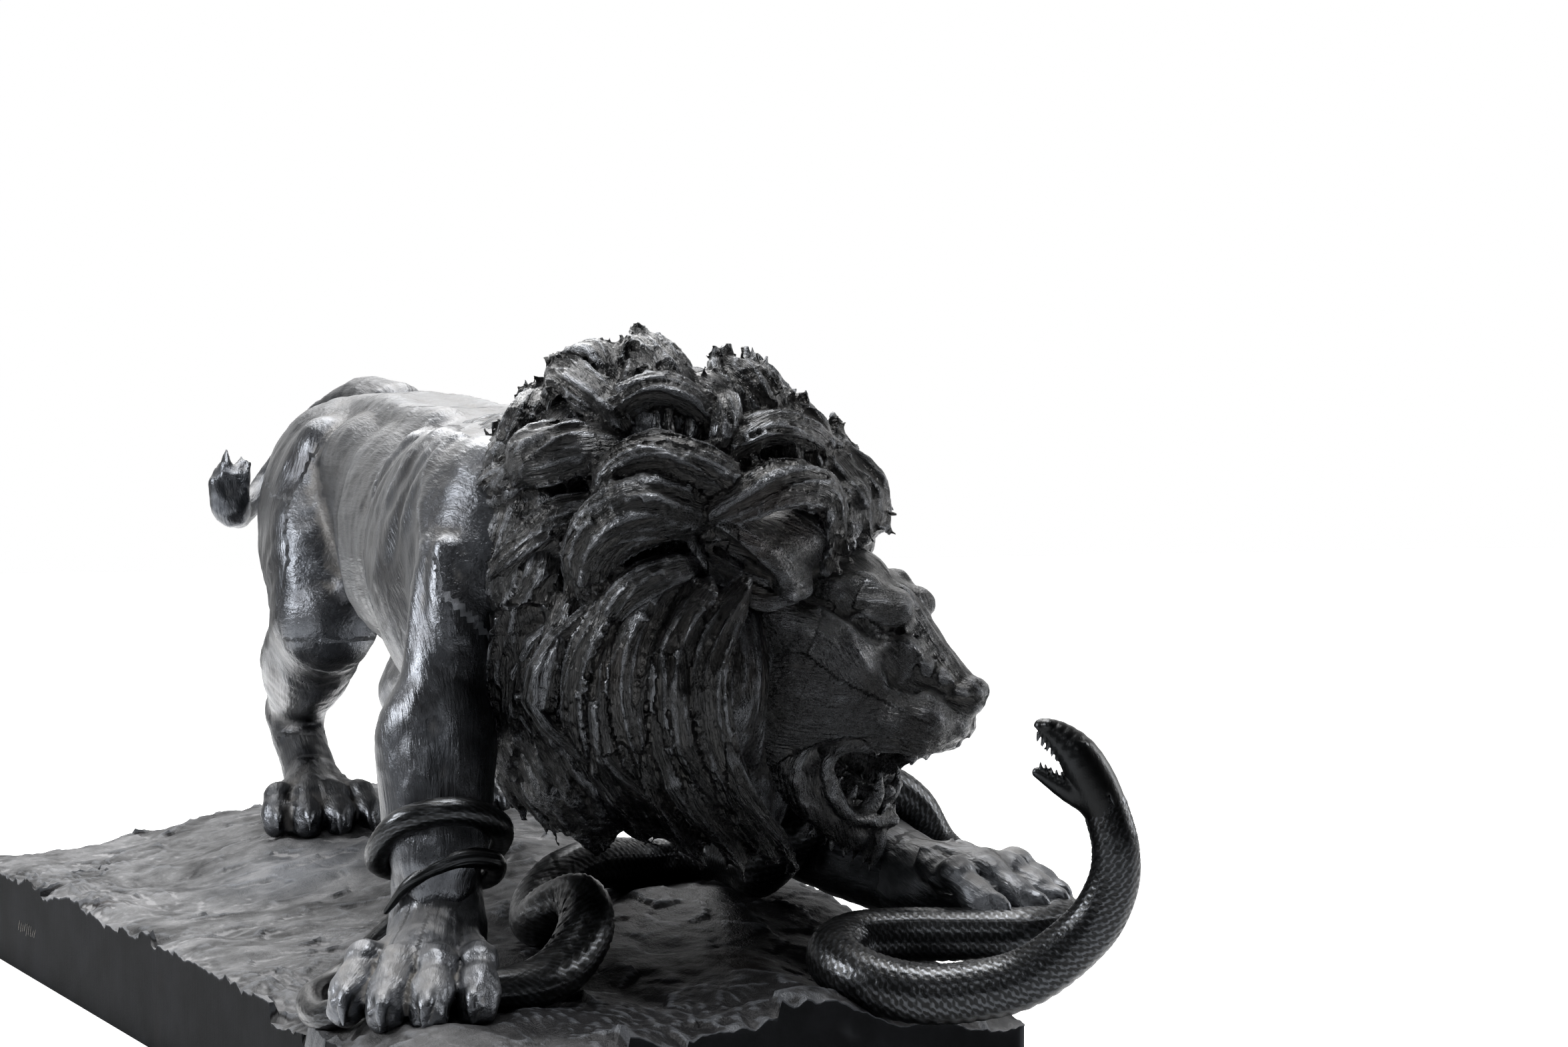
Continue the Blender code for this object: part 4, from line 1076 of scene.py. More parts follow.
    def lips(self, clay: Clay, side: int) -> None:
        """Adds the rolled rim of the lips round the corner of the mouth, and the folds behind it."""
        upper = ((158, 6, -41, 3.4), (148, 17, -49, 4.0), (131, 30, -54, 4.4), (115, 37, -60, 4.6))
        corner = ((115, 37, -60, 4.6), (101, 40, -70, 5.0), (99, 40, -84, 5.4), (108, 36, -98, 5.6))
        lower = ((108, 36, -98, 5.6), (120, 27, -107, 5.4), (134, 15, -107, 5.0), (141, 0, -104, 4.6))
        for rim in (upper, corner, lower):
            self.bar(clay, rim, side, 0.003)
        groove = (
            (134, 36, -48, 1.4), (108, 46, -60, 2.0), (92, 48, -76, 2.2), (97, 44, -98, 2.0),
            (114, 34, -112, 1.6),
        )
        self.bar(clay, groove, side, 0.004, cut=True)
        self.bar(
            clay, ((104, 46, -50, 3), (84, 50, -70, 4), (84, 47, -96, 4), (100, 38, -116, 3)), side, 0.005
        )

    def teeth(self, clay: Clay) -> None:
        """Adds the fangs, the front teeth between them and the cheek teeth."""
        for side in (-1, 1):
            self.bar(clay, ((138, 16, -50, 4.4), (141, 16, -58, 3.0), (142, 16, -63, 1.0)), side, 0.001)
            self.bar(
                clay,
                ((127, 17, -102, 6.0), (130, 18, -90, 5.0), (128, 18, -80, 2.6), (125, 18, -74, 0.8)),
                side,
                0.0012,
            )
            for tooth in range(3):
                back = 12 * tooth
                self.bar(
                    clay,
                    ((120 - back, 23 + tooth, -60, 3.0), (120 - back, 22 + tooth, -67, 0.9)),
                    side,
                    0.001,
                )
                self.bar(
                    clay,
                    ((116 - back, 22 + tooth, -97, 3.2), (116 - back, 21 + tooth, -89, 0.9)),
                    side,
                    0.001,
                )
            for tooth in range(3):
                across = 3.0 + 4.0 * tooth
                self.bar(
                    clay, ((152 - tooth, across, -44, 2.2), (152 - tooth, across, -48, 0.9)), side, 0.0008
                )
                self.bar(
                    clay,
                    ((138 - tooth, across * 0.9, -99, 2.2), (139 - tooth, across * 0.9, -93, 0.9)),
                    side,
                    0.0008,
                )

    def ear(self, clay: Clay, side: int) -> None:
        """Adds an ear that is laid back: a cupped flap with a rim and hair inside."""
        flat = HEAD.axes()[2] + side * 0.5 * HEAD.axes()[1]
        flap = ((36, 62, 17, 14), (18, 68, 29, 20), (-6, 80, 34, 20), (-36, 100, 39, 7))
        clay.add(HEAD.limb(flap, side, flat, 1.7), 0.004)
        self.bar(clay, ((25, 82, 15, 7), (4, 92, 18, 12), (-16, 101, 28, 8)), side, 0.0025, cut=True)
        rim = ((32, 78, 23, 4), (10, 85, 34, 5), (-12, 93, 41, 5), (-36, 103, 40, 3))
        self.bar(clay, rim, side, 0.003)
        lobe = ((42, 73, 12, 5.5), (28, 81, 1, 5.5), (4, 90, 3, 4.5), (-17, 99, 14, 4), (-36, 104, 37, 2.5))
        self.bar(clay, lobe, side, 0.003)
        self.egg(clay, (16, side * 44, 42), (28, 24, 20), 0.012)
        for tuft in range(4):
            rows = (
                (30 - 2 * tuft, 77, 4 + 3 * tuft, 2.4),
                (8 - 4 * tuft, 85, 6 + 3 * tuft, 2.0),
                (-10 - 5 * tuft, 95, 12 + 4 * tuft, 0.6),
            )
            self.bar(clay, rows, side, 0.001)

    def beard(self, clay: Clay, random: np.random.Generator) -> None:
        """Adds the short pointed tufts under the chin and along the jaw."""
        for tuft in range(26):
            share = (tuft + 0.5) / 26.0
            side = random.uniform(-18, 18)
            forward = 92 + 50 * share
            drop = random.uniform(9, 18) + 4 * share
            rows = ((forward - 4, side, -112 - 4 * share, 6.0), (forward, 1.1 * side, -120 - 4 * share, 4.6))
            rows += ((forward + 1, 1.25 * side, -120 - 4 * share - drop, 0.9),)
            self.bar(clay, rows, 1, 0.002)

    def guides(self) -> list[Guide]:
        """Gives the lines that the short hair follows over the face."""
        found = []
        lines = (
            ((150, 6, 4, 8), (110, 10, 22, 12), (70, 14, 44, 16), (20, 20, 50, 20)),
            ((150, 18, -20, 12), (120, 28, -20, 14), (96, 38, -8, 12), (60, 50, 20, 14), (20, 56, 20, 16)),
            ((146, 18, -36, 12), (118, 32, -38, 12), (90, 44, -50, 14), (50, 54, -60, 20)),
            ((104, 40, -62, 8), (94, 42, -84, 8), (100, 36, -108, 8), (110, 26, -126, 8)),
            ((96, 32, 26, 10), (74, 42, 18, 10), (40, 54, 6, 12), (10, 60, -4, 16)),
        )
        for side in (-1, 1):
            for line in lines:
                rows = [(HEAD.at(f, side * s, u), MILLIMETRE * r) for f, s, u, r in line]
                found.append(Guide(rows, side * HEAD.axes()[1] + 0.4 * HEAD.axes()[2]))
        return found


@dataclass
class Fan:
    """Locks side by side, from a line between two roots to a line between two tips, no two quite alike."""

    roots: tuple
    tips: tuple
    count: int
    overlap: float = 1.7
    bulge: float = 0.008
    tip_lift: float = 0.006
    curl: float = 6.0
    swell: float = 7.0
    spare: float = 0.10
    rolled: bool = True

    def locks(self, random: np.random.Generator) -> list["Lock"]:
        """Gives the fan's locks."""
        roots, tips = np.asarray(self.roots, float), np.asarray(self.tips, float)
        edges = [SHELL.at(*(0.5 * (roots[k] + tips[k]))[:2]) for k in (0, 1)]
        full = float(np.linalg.norm(edges[1] - edges[0]))
        width = self.overlap * full / max(self.count - 1, 1)
        found = []
        if self.rolled:
            # The thick roll that the smaller locks lie on
            found.append(
                Lock(roots.mean(axis=0), tips.mean(axis=0), 1.25 * full, self.bulge, self.tip_lift, self.curl)
            )
        for k in range(self.count):
            t = k / max(self.count - 1, 1)
            rounded = self.swell * (math.sqrt(max(1.0 - (2 * t - 1) ** 2, 0.0)) - 0.6)
            stagger = np.array(
                [random.uniform(-3, 3), random.uniform(-3, 3), rounded + random.uniform(-3.0, 3.0)]
            )
            root = roots[0] * (1 - t) + roots[1] * t
            tip = tips[0] * (1 - t) + tips[1] * t
            tip = tip + (tip - root) * [self.spare, self.spare, 0] * random.uniform(-1, 1)
            wide = width * random.uniform(0.8, 1.25)
            curl = self.curl * random.uniform(0.4, 1.6) + random.uniform(-3.0, 3.0)
            found.append(
                Lock(root + stagger - [0, 0, 5], tip + stagger, wide, self.bulge, self.tip_lift, curl)
            )
        return found


@dataclass
class Lock:
    """A thick lock of the mane: a core with strands over it that part towards their tips."""

    start: np.ndarray
    stop: np.ndarray
    width: float
    bulge: float
    tip_lift: float
    curl: float
    profile: tuple = ((0.0, 0.75), (0.25, 0.95), (0.55, 1.0), (0.8, 0.70), (0.92, 0.42), (1.0, 0.12))

    def line(self, reach: float = 1.0) -> list:
        """Gives the lock's middle line with its half widths.

        Args:
            reach: How much of the lock's length it takes, over 1 for a strand that runs past the tip.

        Returns:
            A place, a half width and the way off the shell for each point.
        """
        rows = []
        for t, share in self.profile:
            at = t * reach
            azimuth, elevation, lift = self.start + (self.stop - self.start) * at
            azimuth += self.curl * math.sin(math.pi * min(at, 1.0))
            lift = MILLIMETRE * lift + self.bulge * math.sin(math.pi * min(at, 1.0)) + self.tip_lift * at * at
            place = SHELL.at(azimuth, elevation, lift - 0.36 * self.width * share)
            rows.append((place, 0.5 * self.width * share, SHELL.outward(place)))
        return rows

    def shape(self, clay: Clay, random: np.random.Generator) -> None:
        """Adds the lock to the clay."""
        middle = SHELL.at(*(0.5 * (self.start + self.stop))[:2])
        outward = SHELL.outward(middle)
        clay.add(Limb([(place, 0.90 * half) for place, half, _ in self.line()], 2, outward, 1.3), 0.0025)
        strands = max(3, round(self.width / 0.0062))
        for k in range(strands):
            share = (2.0 * k + 1.0) / strands - 1.0 + random.uniform(-0.12, 0.12)
            line = self.line(random.uniform(0.90, 1.08))
            rows = []
            for n, (place, half, out) in enumerate(line):
                way = line[min(n + 1, len(line) - 1)][0] - line[max(n - 1, 0)][0]
                across = unit(np.cross(out, way))
                spread = share * (0.72 + 0.30 * n / 5.0) * half
                spread += 0.10 * half * math.sin(1.7 * n + 5.0 * k + 40.0 * self.width)
                rise = half / 1.3 * math.sqrt(max(1.0 - 0.85 * share**2, 0.05)) - 0.5 * half / strands
                thick = max(1.30 * half / strands, 0.0012) * (1.0, 1.0, 1.05, 1.2, 1.5, 1.7)[n]
                rows.append((place + across * spread + out * rise, thick))
            rows[-1] = (rows[-1][0] + random.uniform(-0.004, 0.004, 3), 0.0018)
            clay.add(Limb(rows, 2), 0.0010)

    def guide(self) -> Guide:
        """Gives the line that the hair follows along the lock."""
        line = self.line()
        return Guide([(place, half) for place, half, _ in line], line[2][2], 2)


@dataclass
class Roll:
    """A thick round roll of hair with strands wound along it and a ragged blunt end."""

    # An azimuth and an elevation on the shell, a lift off it and a half width in millimetres, for each point
    route: tuple
    twist: float = 55.0

    def line(self) -> list:
        """Gives the roll's middle line: a place, a half width and the way off the shell for each point."""
        found = []
        for azimuth, elevation, lift, half in spline(np.array(self.route, float), 3):
            place = SHELL.at(azimuth, elevation, MILLIMETRE * lift)
            found.append((place, MILLIMETRE * half, SHELL.outward(place)))
        return found

    def shape(self, clay: Clay, random: np.random.Generator) -> None:
        """Adds the roll to the clay."""
        line = self.line()
        clay.add(Limb([(place, 0.88 * half) for place, half, _ in line], 1), 0.0012)
        strands = max(6, round(max(half for _, half, _ in line) * math.radians(230) / 0.0046))
        for k in range(strands):
            first = -115 + 230 * (k + random.uniform(0.25, 0.75)) / strands
            last = round(len(line) * random.uniform(0.84, 1.0))
            proud, phase, thick = random.uniform(-0.08, 0.12), random.uniform(0, 6), random.uniform(1.4, 2.4)
            rows = []
            for n, (place, half, out) in enumerate(line[:last]):
                share = n / (len(line) - 1)
                turn = math.radians(first + self.twist * (share - 0.5) + 13 * math.sin(5 * share + phase))
                way = line[min(n + 1, len(line) - 1)][0] - line[max(n - 1, 0)][0]
                across = unit(np.cross(out, way))
                off = across * math.sin(turn) + out * math.cos(turn)
                rows.append((place + off * half * (0.90 + proud), max(thick * half / strands, 0.0012)))
            rows[-1] = (rows[-1][0] + 0.004 * off + random.uniform(-0.003, 0.003, 3), 0.0016)
            clay.add(Limb(rows, 1), 0.0008)

    def guide(self) -> Guide:
        """Gives the line that the hair follows along the roll."""
        line = self.line()
        return Guide([(place, half) for place, half, _ in line], line[len(line) // 2][2], 1)


@dataclass
class Tassel:
    """A chunk of the crest: short stout rolls that stand up together."""

    azimuth: float
    elevation: float
    stand: float

    def locks(self, random: np.random.Generator) -> list[Roll]:
        """Gives the chunk's rolls."""
        found = []
        for flame in range(4):
            turn, rise = random.uniform(-8, 8), random.uniform(-5, 1)
            tall = self.stand * (1.0 - 0.22 * flame)
            route = (
                (self.azimuth + 0.6 * turn, self.elevation - 17 + rise, -8, 5.0),
                (self.azimuth + 1.1 * turn, self.elevation - 8 + rise, 0.2 * tall, 7.0),
                (self.azimuth + turn, self.elevation + rise, 0.7 * tall, 5.5),
                (self.azimuth + turn + random.uniform(-6, 6), self.elevation + 4 + rise, tall, 2.5),
            )
            found.append(Roll(route, random.uniform(20, 70)))
        return found


@dataclass
class Mane:
    """The mane in four parts: the ruff under the cheek, the crown and crest, the chest and the far side."""

    seed: int = 11
    crest: tuple = (
        (58, 33, 10),
        (48, 28, 8),
        (32, 38, 8),
        (24, 43, 10),
        (14, 50, 8),
        (2, 54, 10),
        (-24, 50, 4),
        (-34, 58, 5),
        (-46, 64, 6),
        (-64, 58, 6),
        (-82, 52, 6),
        (-96, 45, 6),
        (-104, 34, 6),
    )
    far_crest: tuple = ((90, 60, 0), (150, 56, 0), (-150, 54, 0))

    def fans(self) -> dict[str, list[Fan]]:
        """Gives each part's fans of locks."""
        ruff = [
            Fan(
                ((-6, -2, 6), (-46, 0, 6)), ((28, -66, 30), (-50, -50, 12)), 9, 1.1, 0.015, 0.004, -19.0, 5.0,
                0.22, False,
            ),
            Fan(
                ((-8, -14, 6), (-44, -14, 8)), ((46, -70, 50), (-34, -64, 14)), 7, 0.9, 0.014, 0.005, -12.0,
                4.0, 0.2, False,
            ),
        ]
        swept = [
            Fan(((34, 26, 2), (50, 30, 4)), ((22, 10, 8), (62, 12, 22)), 6, 1.4, 0.012, 0.004, 4.0, 6.0, 0.12)
        ]
        chest = [
            Fan(((-50, -30, 0), (-112, -26, 8)), ((-34, -72, 0), (-108, -56, 26)), 8, spare=0.14),
            Fan(((-60, -6, 0), (-98, -2, 2)), ((-64, -42, 4), (-112, -40, 20)), 6, spare=0.14),
            Fan(((-62, 18, 0), (-96, 24, 2)), ((-74, -14, 4), (-104, -12, 6)), 6, spare=0.14),
            Fan(((-58, 38, 0), (-88, 48, 0)), ((-80, 16, 8), (-116, 20, 4)), 6, spare=0.14),
        ]
        far = []
        for turn in (76, 128, 180):
            far.append(Fan(((turn, 50, 0), (turn + 36, 50, 0)), ((turn + 10, 20, 6), (turn + 50, 20, 6)), 3))
            far.append(
                Fan(((turn - 12, 24, 0), (turn + 26, 24, 0)), ((turn, -12, 6), (turn + 40, -12, 6)), 3)
            )
            far.append(Fan(((turn - 6, -4, 0), (turn + 30, -4, 0)), ((turn, -44, 4), (turn + 34, -44, 4)), 3))
        far.append(Fan(((78, -20, 0), (176, -30, 0)), ((64, -66, 4), (190, -66, 0)), 6))
        return {"ruff": ruff, "crown": swept, "chest": chest, "far": far}

    def rolls(self) -> list[Roll]:
        """Gives the crown's great rolls, swept back from the brow in S curves."""
        routes = (
            (
                (-2, 31, -12, 8), (-10, 38, 2, 10), (-17, 42, 6, 11.5), (-28, 44, 8, 12), (-38, 42, 8, 11),
                (-47, 38, 1, 7),
            ),
            (
                (-43, 32, -8, 14), (-52, 30, 4, 19), (-60, 28, 8, 21), (-68, 27, 8, 21), (-74, 24, 1, 16),
                (-70, 20, -5, 9),
            ),
            (
                (-2, 20, -10, 10), (-9, 23, 3, 15), (-20, 26, 7, 17), (-31, 27, 9, 16.5), (-41, 24, 7, 14),
                (-46, 18, -1, 8),
            ),
            (
                (-13, 15, 0, 8), (-5, 18, 6, 14), (5, 21, 8, 17), (16, 21, 8, 16), (25, 18, 8, 13),
                (26, 10, 8, 9), (23, 2, 6, 5),
            ),
            (
                (-14, 15, -18, 9), (-21, 16, -1, 17), (-31, 16, 7, 23), (-41, 12, 8, 22), (-48, 4, 3, 17),
                (-48, -7, -6, 7),
            ),
            (
                (-16, 4, -18, 7), (-23, 3, -2, 12), (-31, 1, 6, 14), (-38, -3, 5, 13), (-43, -9, 1, 10),
                (-43, -16, -5, 6),
            ),
            (
                (-94, 47, -6, 8), (-87, 42, 3, 12), (-82, 38, 6, 14), (-82, 33, 7, 14), (-85, 29, 4, 11),
                (-82, 25, -1, 6),
            ),
            (
                (-70, 26, -6, 9), (-80, 24, 4, 12), (-88, 20, 6, 13), (-91, 14, 5, 13), (-90, 8, 2, 12),
                (-93, 0, -2, 8),
            ),
            (
                (-46, 18, -12, 12), (-55, 15, 0, 16), (-63, 10, 4, 18), (-72, 4, 4, 17), (-80, -2, 2, 13),
                (-88, -9, -3, 8),
            ),
            ((-2, 47, -6, 6), (-4, 42, 6, 9), (-6, 38, 10, 10), (-8, 33, 9, 9), (-10, 29, 3, 6)),
            (
                (-11, 29, -6, 7), (-3, 31, 5, 11), (7, 34, 8, 12), (18, 34, 8, 12), (30, 31, 6, 11),
                (43, 24, -2, 6),
            ),
            (
                (-90, 50, 0, 8), (-80, 50, 5, 12), (-68, 48, 7, 14), (-57, 44, 7, 14), (-48, 40, 4, 12),
                (-42, 34, -4, 8),
            ),
            ((-46, 48, -4, 8), (-57, 55, 4, 12), (-68, 57, 5, 13), (-79, 55, 4, 11), (-90, 51, 0, 8)),
            ((-16, 40, -6, 11), (-22, 47, 2, 15), (-28, 54, 3, 16), (-37, 61, 1, 14), (-48, 66, -1, 9)),
            ((18, 34, -6, 9), (14, 41, 3, 13), (10, 48, 3, 14), (6, 53, 2, 12), (2, 57, -2, 7)),
            ((36, 26, -4, 8), (34, 33, 4, 11), (31, 38, 4, 11), (27, 42, 2, 8), (22, 45, -1, 5)),
            ((4, 36, -4, 8), (-2, 42, 2, 11), (-8, 47, 2, 12), (-14, 50, 0, 9)),
            ((44, 18, -4, 8), (50, 25, 3, 10), (54, 31, 4, 10), (57, 36, 2, 6)),
        )
        return [Roll(route, 70.0 if number % 2 else -50.0) for number, route in enumerate(routes)]

    def falls(self) -> list[Roll]:
        """Gives the ruff's long locks, which fall from behind the cheek in a slow curve."""
        routes = (
            (
                (-4, 0, 0, 9), (-11, -8, 3, 14), (-15, -17, 7, 16), (-14, -28, 14, 16), (-8, -39, 24, 14),
                (4, -50, 34, 10), (38, -62, 42, 4),
            ),
            (
                (-14, -1, 0, 9), (-21, -8, 3, 14), (-25, -18, 7, 16), (-24, -29, 12, 16), (-18, -40, 20, 14),
                (-6, -51, 28, 10), (13, -62, 34, 4),
            ),
            (
                (-25, 1, 0, 9), (-32, -7, 3, 14), (-36, -17, 6, 17), (-36, -27, 9, 17), (-31, -40, 14, 15),
                (-21, -50, 20, 10), (-11, -57, 24, 4),
            ),
            (
                (-38, -1, -2, 9), (-43, -8, 2, 14), (-48, -18, 5, 17), (-50, -30, 7, 17), (-48, -41, 9, 15),
                (-41, -50, 12, 10), (-30, -56, 14, 4),
            ),
            (
                (-53, -2, -2, 9), (-57, -11, 3, 14), (-62, -21, 5, 17), (-65, -32, 6, 16), (-66, -43, 7, 13),
                (-64, -52, 7, 9), (-56, -58, 6, 4),
            ),
            (
                (-68, 8, -2, 9), (-70, -4, 3, 14), (-76, -15, 5, 16), (-85, -28, 6, 15), (-99, -40, 6, 12),
                (-106, -48, 5, 8), (-107, -54, 3, 4),
            ),
            (
                (-84, 17, -2, 8), (-83, 6, 3, 12), (-87, -4, 5, 13), (-96, -15, 6, 13), (-108, -24, 6, 11),
                (-110, -31, 5, 8), (-110, -37, 3, 4),
            ),
        )
        return [Roll(route, -35.0) for route in routes]

    def core(self, clay: Clay) -> None:
        """Adds the mass under the locks."""
        middle = np.array(SHELL.middle)
        clay.add(Egg(middle, tuple(np.array(SHELL.reach) - 0.024)), 0.03)
        clay.add(Limb([(BODY.at(0.37, 0.0, 0.385), 0.058), (middle + [-0.02, -0.02, 0.03], 0.095)]), 0.02)
        clay.add(Limb(pairs(((0.262, -0.012, 0.30, 0.066), (0.285, 0.0, 0.215, 0.042)))), 0.03)
        throat = ((10, -60, 0.052), (45, -108, 0.034), (68, -146, 0.016))
        clay.add(Limb([(HEAD.at(f, -30, u), r) for f, u, r in throat]), 0.02)
        clay.add(Limb([(HEAD.at(10, 30, -60), 0.050), (HEAD.at(26, 36, -84), 0.034)]), 0.03)
        clay.add(Egg(SHELL.at(-18, -28, -0.050), (0.062, 0.062, 0.085)), 0.012)
        clay.add(Egg(SHELL.at(-30, 48, -0.034), (0.044, 0.044, 0.036)), 0.010)

    def parts(self) -> dict[str, list[Lock | Roll]]:
        """Gives each part's locks, the crest's flames among the crown's and the far side's."""
        random = np.random.default_rng(self.seed)
        found = {
            name: [lock for fan in fans for lock in fan.locks(random)] for name, fans in self.fans().items()
        }
        found["crown"] = self.rolls() + found["crown"]
        found["ruff"] = self.falls()[:4] + found["ruff"]
        found["chest"] = self.falls()[4:] + found["chest"]
        for part, chunks in (("crown", self.crest), ("far", self.far_crest)):
            for chunk in chunks:
                found[part] += Tassel(*chunk).locks(random)
        return found


class Serpent:
    """The snake: a scaly tube from the tail tip on the lion's wrist to the neck, and the head on its end."""

    # The tail end, wound twice round the wrist: angle, height, how far it stands off, and radius
    TURNS = (
        (-62, 0.132, 0.0030, 0.0022),
        (-20, 0.152, 0.0030, 0.0044),
        (25, 0.165, 0.0034, 0.0064),
        (75, 0.160, 0.0036, 0.0070),
        (130, 0.146, 0.0030, 0.0070),
        (200, 0.148, 0.0030, 0.0074),
        (270, 0.160, 0.0030, 0.0082),
        (330, 0.186, 0.0036, 0.0090),
        (380, 0.194, 0.0040, 0.0092),
        (430, 0.184, 0.0044, 0.0090),
        (485, 0.167, 0.010, 0.0080),
        (520, 0.150, 0.017, 0.0082),
        (560, 0.128, 0.014, 0.0085),
    )
    # From the wrist to the neck. Where the height is None it lies on the ground.
    ROUTE = (
        (0.268, -0.156, None, 0.0088),
        (0.300, -0.188, None, 0.0092),
        (0.342, -0.196, None, 0.0094),
        (0.374, -0.180, None, 0.0096),
        (0.388, -0.150, None, 0.0106),
        (0.398, -0.116, None, 0.0128),
        (0.394, -0.083, 0.093, 0.0150),
        (0.376, -0.052, 0.100, 0.0168),
        (0.352, -0.027, 0.118, 0.0174),
        (0.322, -0.018, 0.131, 0.0168),
        (0.291, -0.024, 0.122, 0.0165),
        (0.262, -0.022, 0.110, 0.0165),
        (0.228, -0.006, 0.117, 0.0168),
        (0.203, 0.020, 0.128, 0.0172),
        (0.182, 0.056, 0.133, 0.0174),
        (0.160, 0.100, 0.129, 0.0172),
        (0.164, 0.130, None, 0.0170),
        (0.196, 0.150, None, 0.0170),
        (0.240, 0.145, 0.132, 0.0178),
        (0.282, 0.133, 0.136, 0.0172),
        (0.306, 0.146, 0.160, 0.0168),
        (0.316, 0.170, 0.186, 0.0165),
        (0.318, 0.200, 0.192, 0.0165),
        (0.318, 0.227, 0.177, 0.0165),
        (0.324, 0.244, 0.148, 0.0165),
        (0.356, 0.260, 0.128, 0.0165),
        (0.412, 0.270, 0.119, 0.0165),
        (0.468, 0.250, 0.116, 0.0165),
        (0.478, 0.220, 0.114, 0.0165),
        (0.458, 0.186, 0.113, 0.0165),
        (0.436, 0.154, 0.112, 0.0170),
        (0.428, 0.122, 0.110, 0.0175),
        (0.446, 0.099, 0.104, 0.0178),
        (0.478, 0.098, 0.096, 0.0180),
        (0.508, 0.116, 0.090, 0.0182),
        (0.528, 0.142, 0.091, 0.0182),
        (0.548, 0.175, 0.101, 0.0178),
        (0.566, 0.204, 0.128, 0.0168),
        (0.577, 0.215, 0.155, 0.0155),
        (0.581, 0.215, 0.180, 0.0140),
        (0.577, 0.210, 0.205, 0.0133),
    )
    WRIST, ELBOW = Forelegs.WRIST, Forelegs.ELBOW
    WRIST_ROUND = 0.030

    def __init__(
        self, sides: int = 54, scales_round: int = 20, fine_step: float = 0.0014, step: float = 0.0024
    ) -> None:
        """Sets the snake's fineness.

        Args:
            sides: How many points go round the tube.
            scales_round: How many scales go round it.
            fine_step: The distance between rings on the coil and the neck.
            step: The distance between rings elsewhere.
        """
        self.sides, self.scales_round = sides, scales_round
        self.fine_step, self.step = fine_step * COARSENESS, step * COARSENESS

    def rows(self) -> list:
        """Gives the middle line from the tail tip to the neck, as places with radii."""
        rows = []
        toward, across = np.array([0.898, -0.440, 0.0]), np.array([0.440, 0.898, 0.0])
        for angle, height, off, radius in self.TURNS:
            share = (height - self.WRIST[2]) / (self.ELBOW[2] - self.WRIST[2])
            out = toward * math.cos(math.radians(angle)) + across * math.sin(math.radians(angle))
            place = self.WRIST + (self.ELBOW - self.WRIST) * share
            place = place + out * (self.WRIST_ROUND + 0.010 * max(share, 0.0) + off)
            place[2] = height
            rows.append((place, radius))
        for x, y, height, radius in self.ROUTE:
            lying = float(ground_height(x, y)) + 0.8 * radius
            rows.append((np.array([x, y, lying if height is None else height]), radius))
        return rows

    def body(self) -> Skin:
        """Builds the tube with its overlapping scales."""
        fine = spline([np.r_[place, radius] for place, radius in self.rows()], 24)
        run = np.r_[0.0, np.cumsum(np.linalg.norm(np.diff(fine[:, :3], axis=0), axis=1))]
        front = ease(run[-1] - 1.05, run[-1] - 0.95, run)
        density = np.r_[0.0, np.cumsum(np.diff(run) / (self.step + (self.fine_step - self.step) * front[1:]))]
        even = np.interp(np.linspace(0.0, density[-1], round(density[-1]) + 1), density, run)
        line = np.stack([np.interp(even, run, fine[:, k]) for k in range(4)], axis=1)
        ways = np.gradient(line[:, :3], axis=0)
        ways /= np.linalg.norm(ways, axis=1)[:, None]
        across = unit(np.cross(ways[0], [0.3, 0.2, 1.0]))
        frames = []
        for way in ways:
            across = unit(across - way * (across @ way))
            frames.append(np.array([across, np.cross(way, across)]))
        frames = np.array(frames)
        angle = 2.0 * math.pi * np.arange(self.sides) / self.sides
        ring = np.cos(angle)[:, None, None] * frames[:, 0] + np.sin(angle)[:, None, None] * frames[:, 1]
        ring = ring.transpose(1, 0, 2)
        height = self.scales(line, even, angle, ring)
        points = line[:, None, :3] + ring * (line[:, 3][:, None] - 0.0004 + height)[..., None]
        grain = np.stack(
            np.broadcast_arrays(angle[None, :] * 1000 * line[:, 3:4], 0 * height, 1000 * even[:, None]), -1
        )
        rings, sides = len(line), self.sides
        index = np.arange(rings * sides).reshape(rings, sides)
        after = np.roll(index, -1, axis=1)
        faces = np.stack([index[:-1], after[:-1], after[1:], index[1:]], axis=-1).reshape(-1, 4)
        points, grain = points.reshape(-1, 3), grain.reshape(-1, 3)
        # Both ends are closed by shrinking rings, which end in a tiny one
        for end, order in ((0, -1), (rings - 1, 1)):
            base = index[end]
            middle, radius = line[end, :3], line[end, 3]
            for t in (0.45, 0.8, 0.97, 1.0):
                shrunk = middle + (
                    points[base if end else index[0]] - middle
                ) * math.sqrt(max(1.0 - t * t, 0.0004))
                shrunk = shrunk + order * ways[end] * radius * t
                new = np.arange(len(points), len(points) + sides)
                points = np.vstack([points, shrunk])
                grain = np.vstack([grain, grain[index[end]]])
                last = base if t == 0.45 else new - sides
                cap = np.stack([last, np.roll(last, -1), np.roll(new, -1), new], axis=-1)
                faces = np.vstack([faces, cap[:, ::order]])
            centre = len(points)
            points = np.vstack([points, middle + order * ways[end] * radius])
            grain = np.vstack([grain, grain[index[end][:1]]])
            half = np.arange(0, sides, 2)
            lid = np.stack(
                [new[half], new[(half + 1) % sides], new[(half + 2) % sides], np.full(len(half), centre)], -1
            )
            faces = np.vstack([faces, lid[:, ::order]])
        skin = Skin(points, faces)
        skin.grain = grain
        return skin

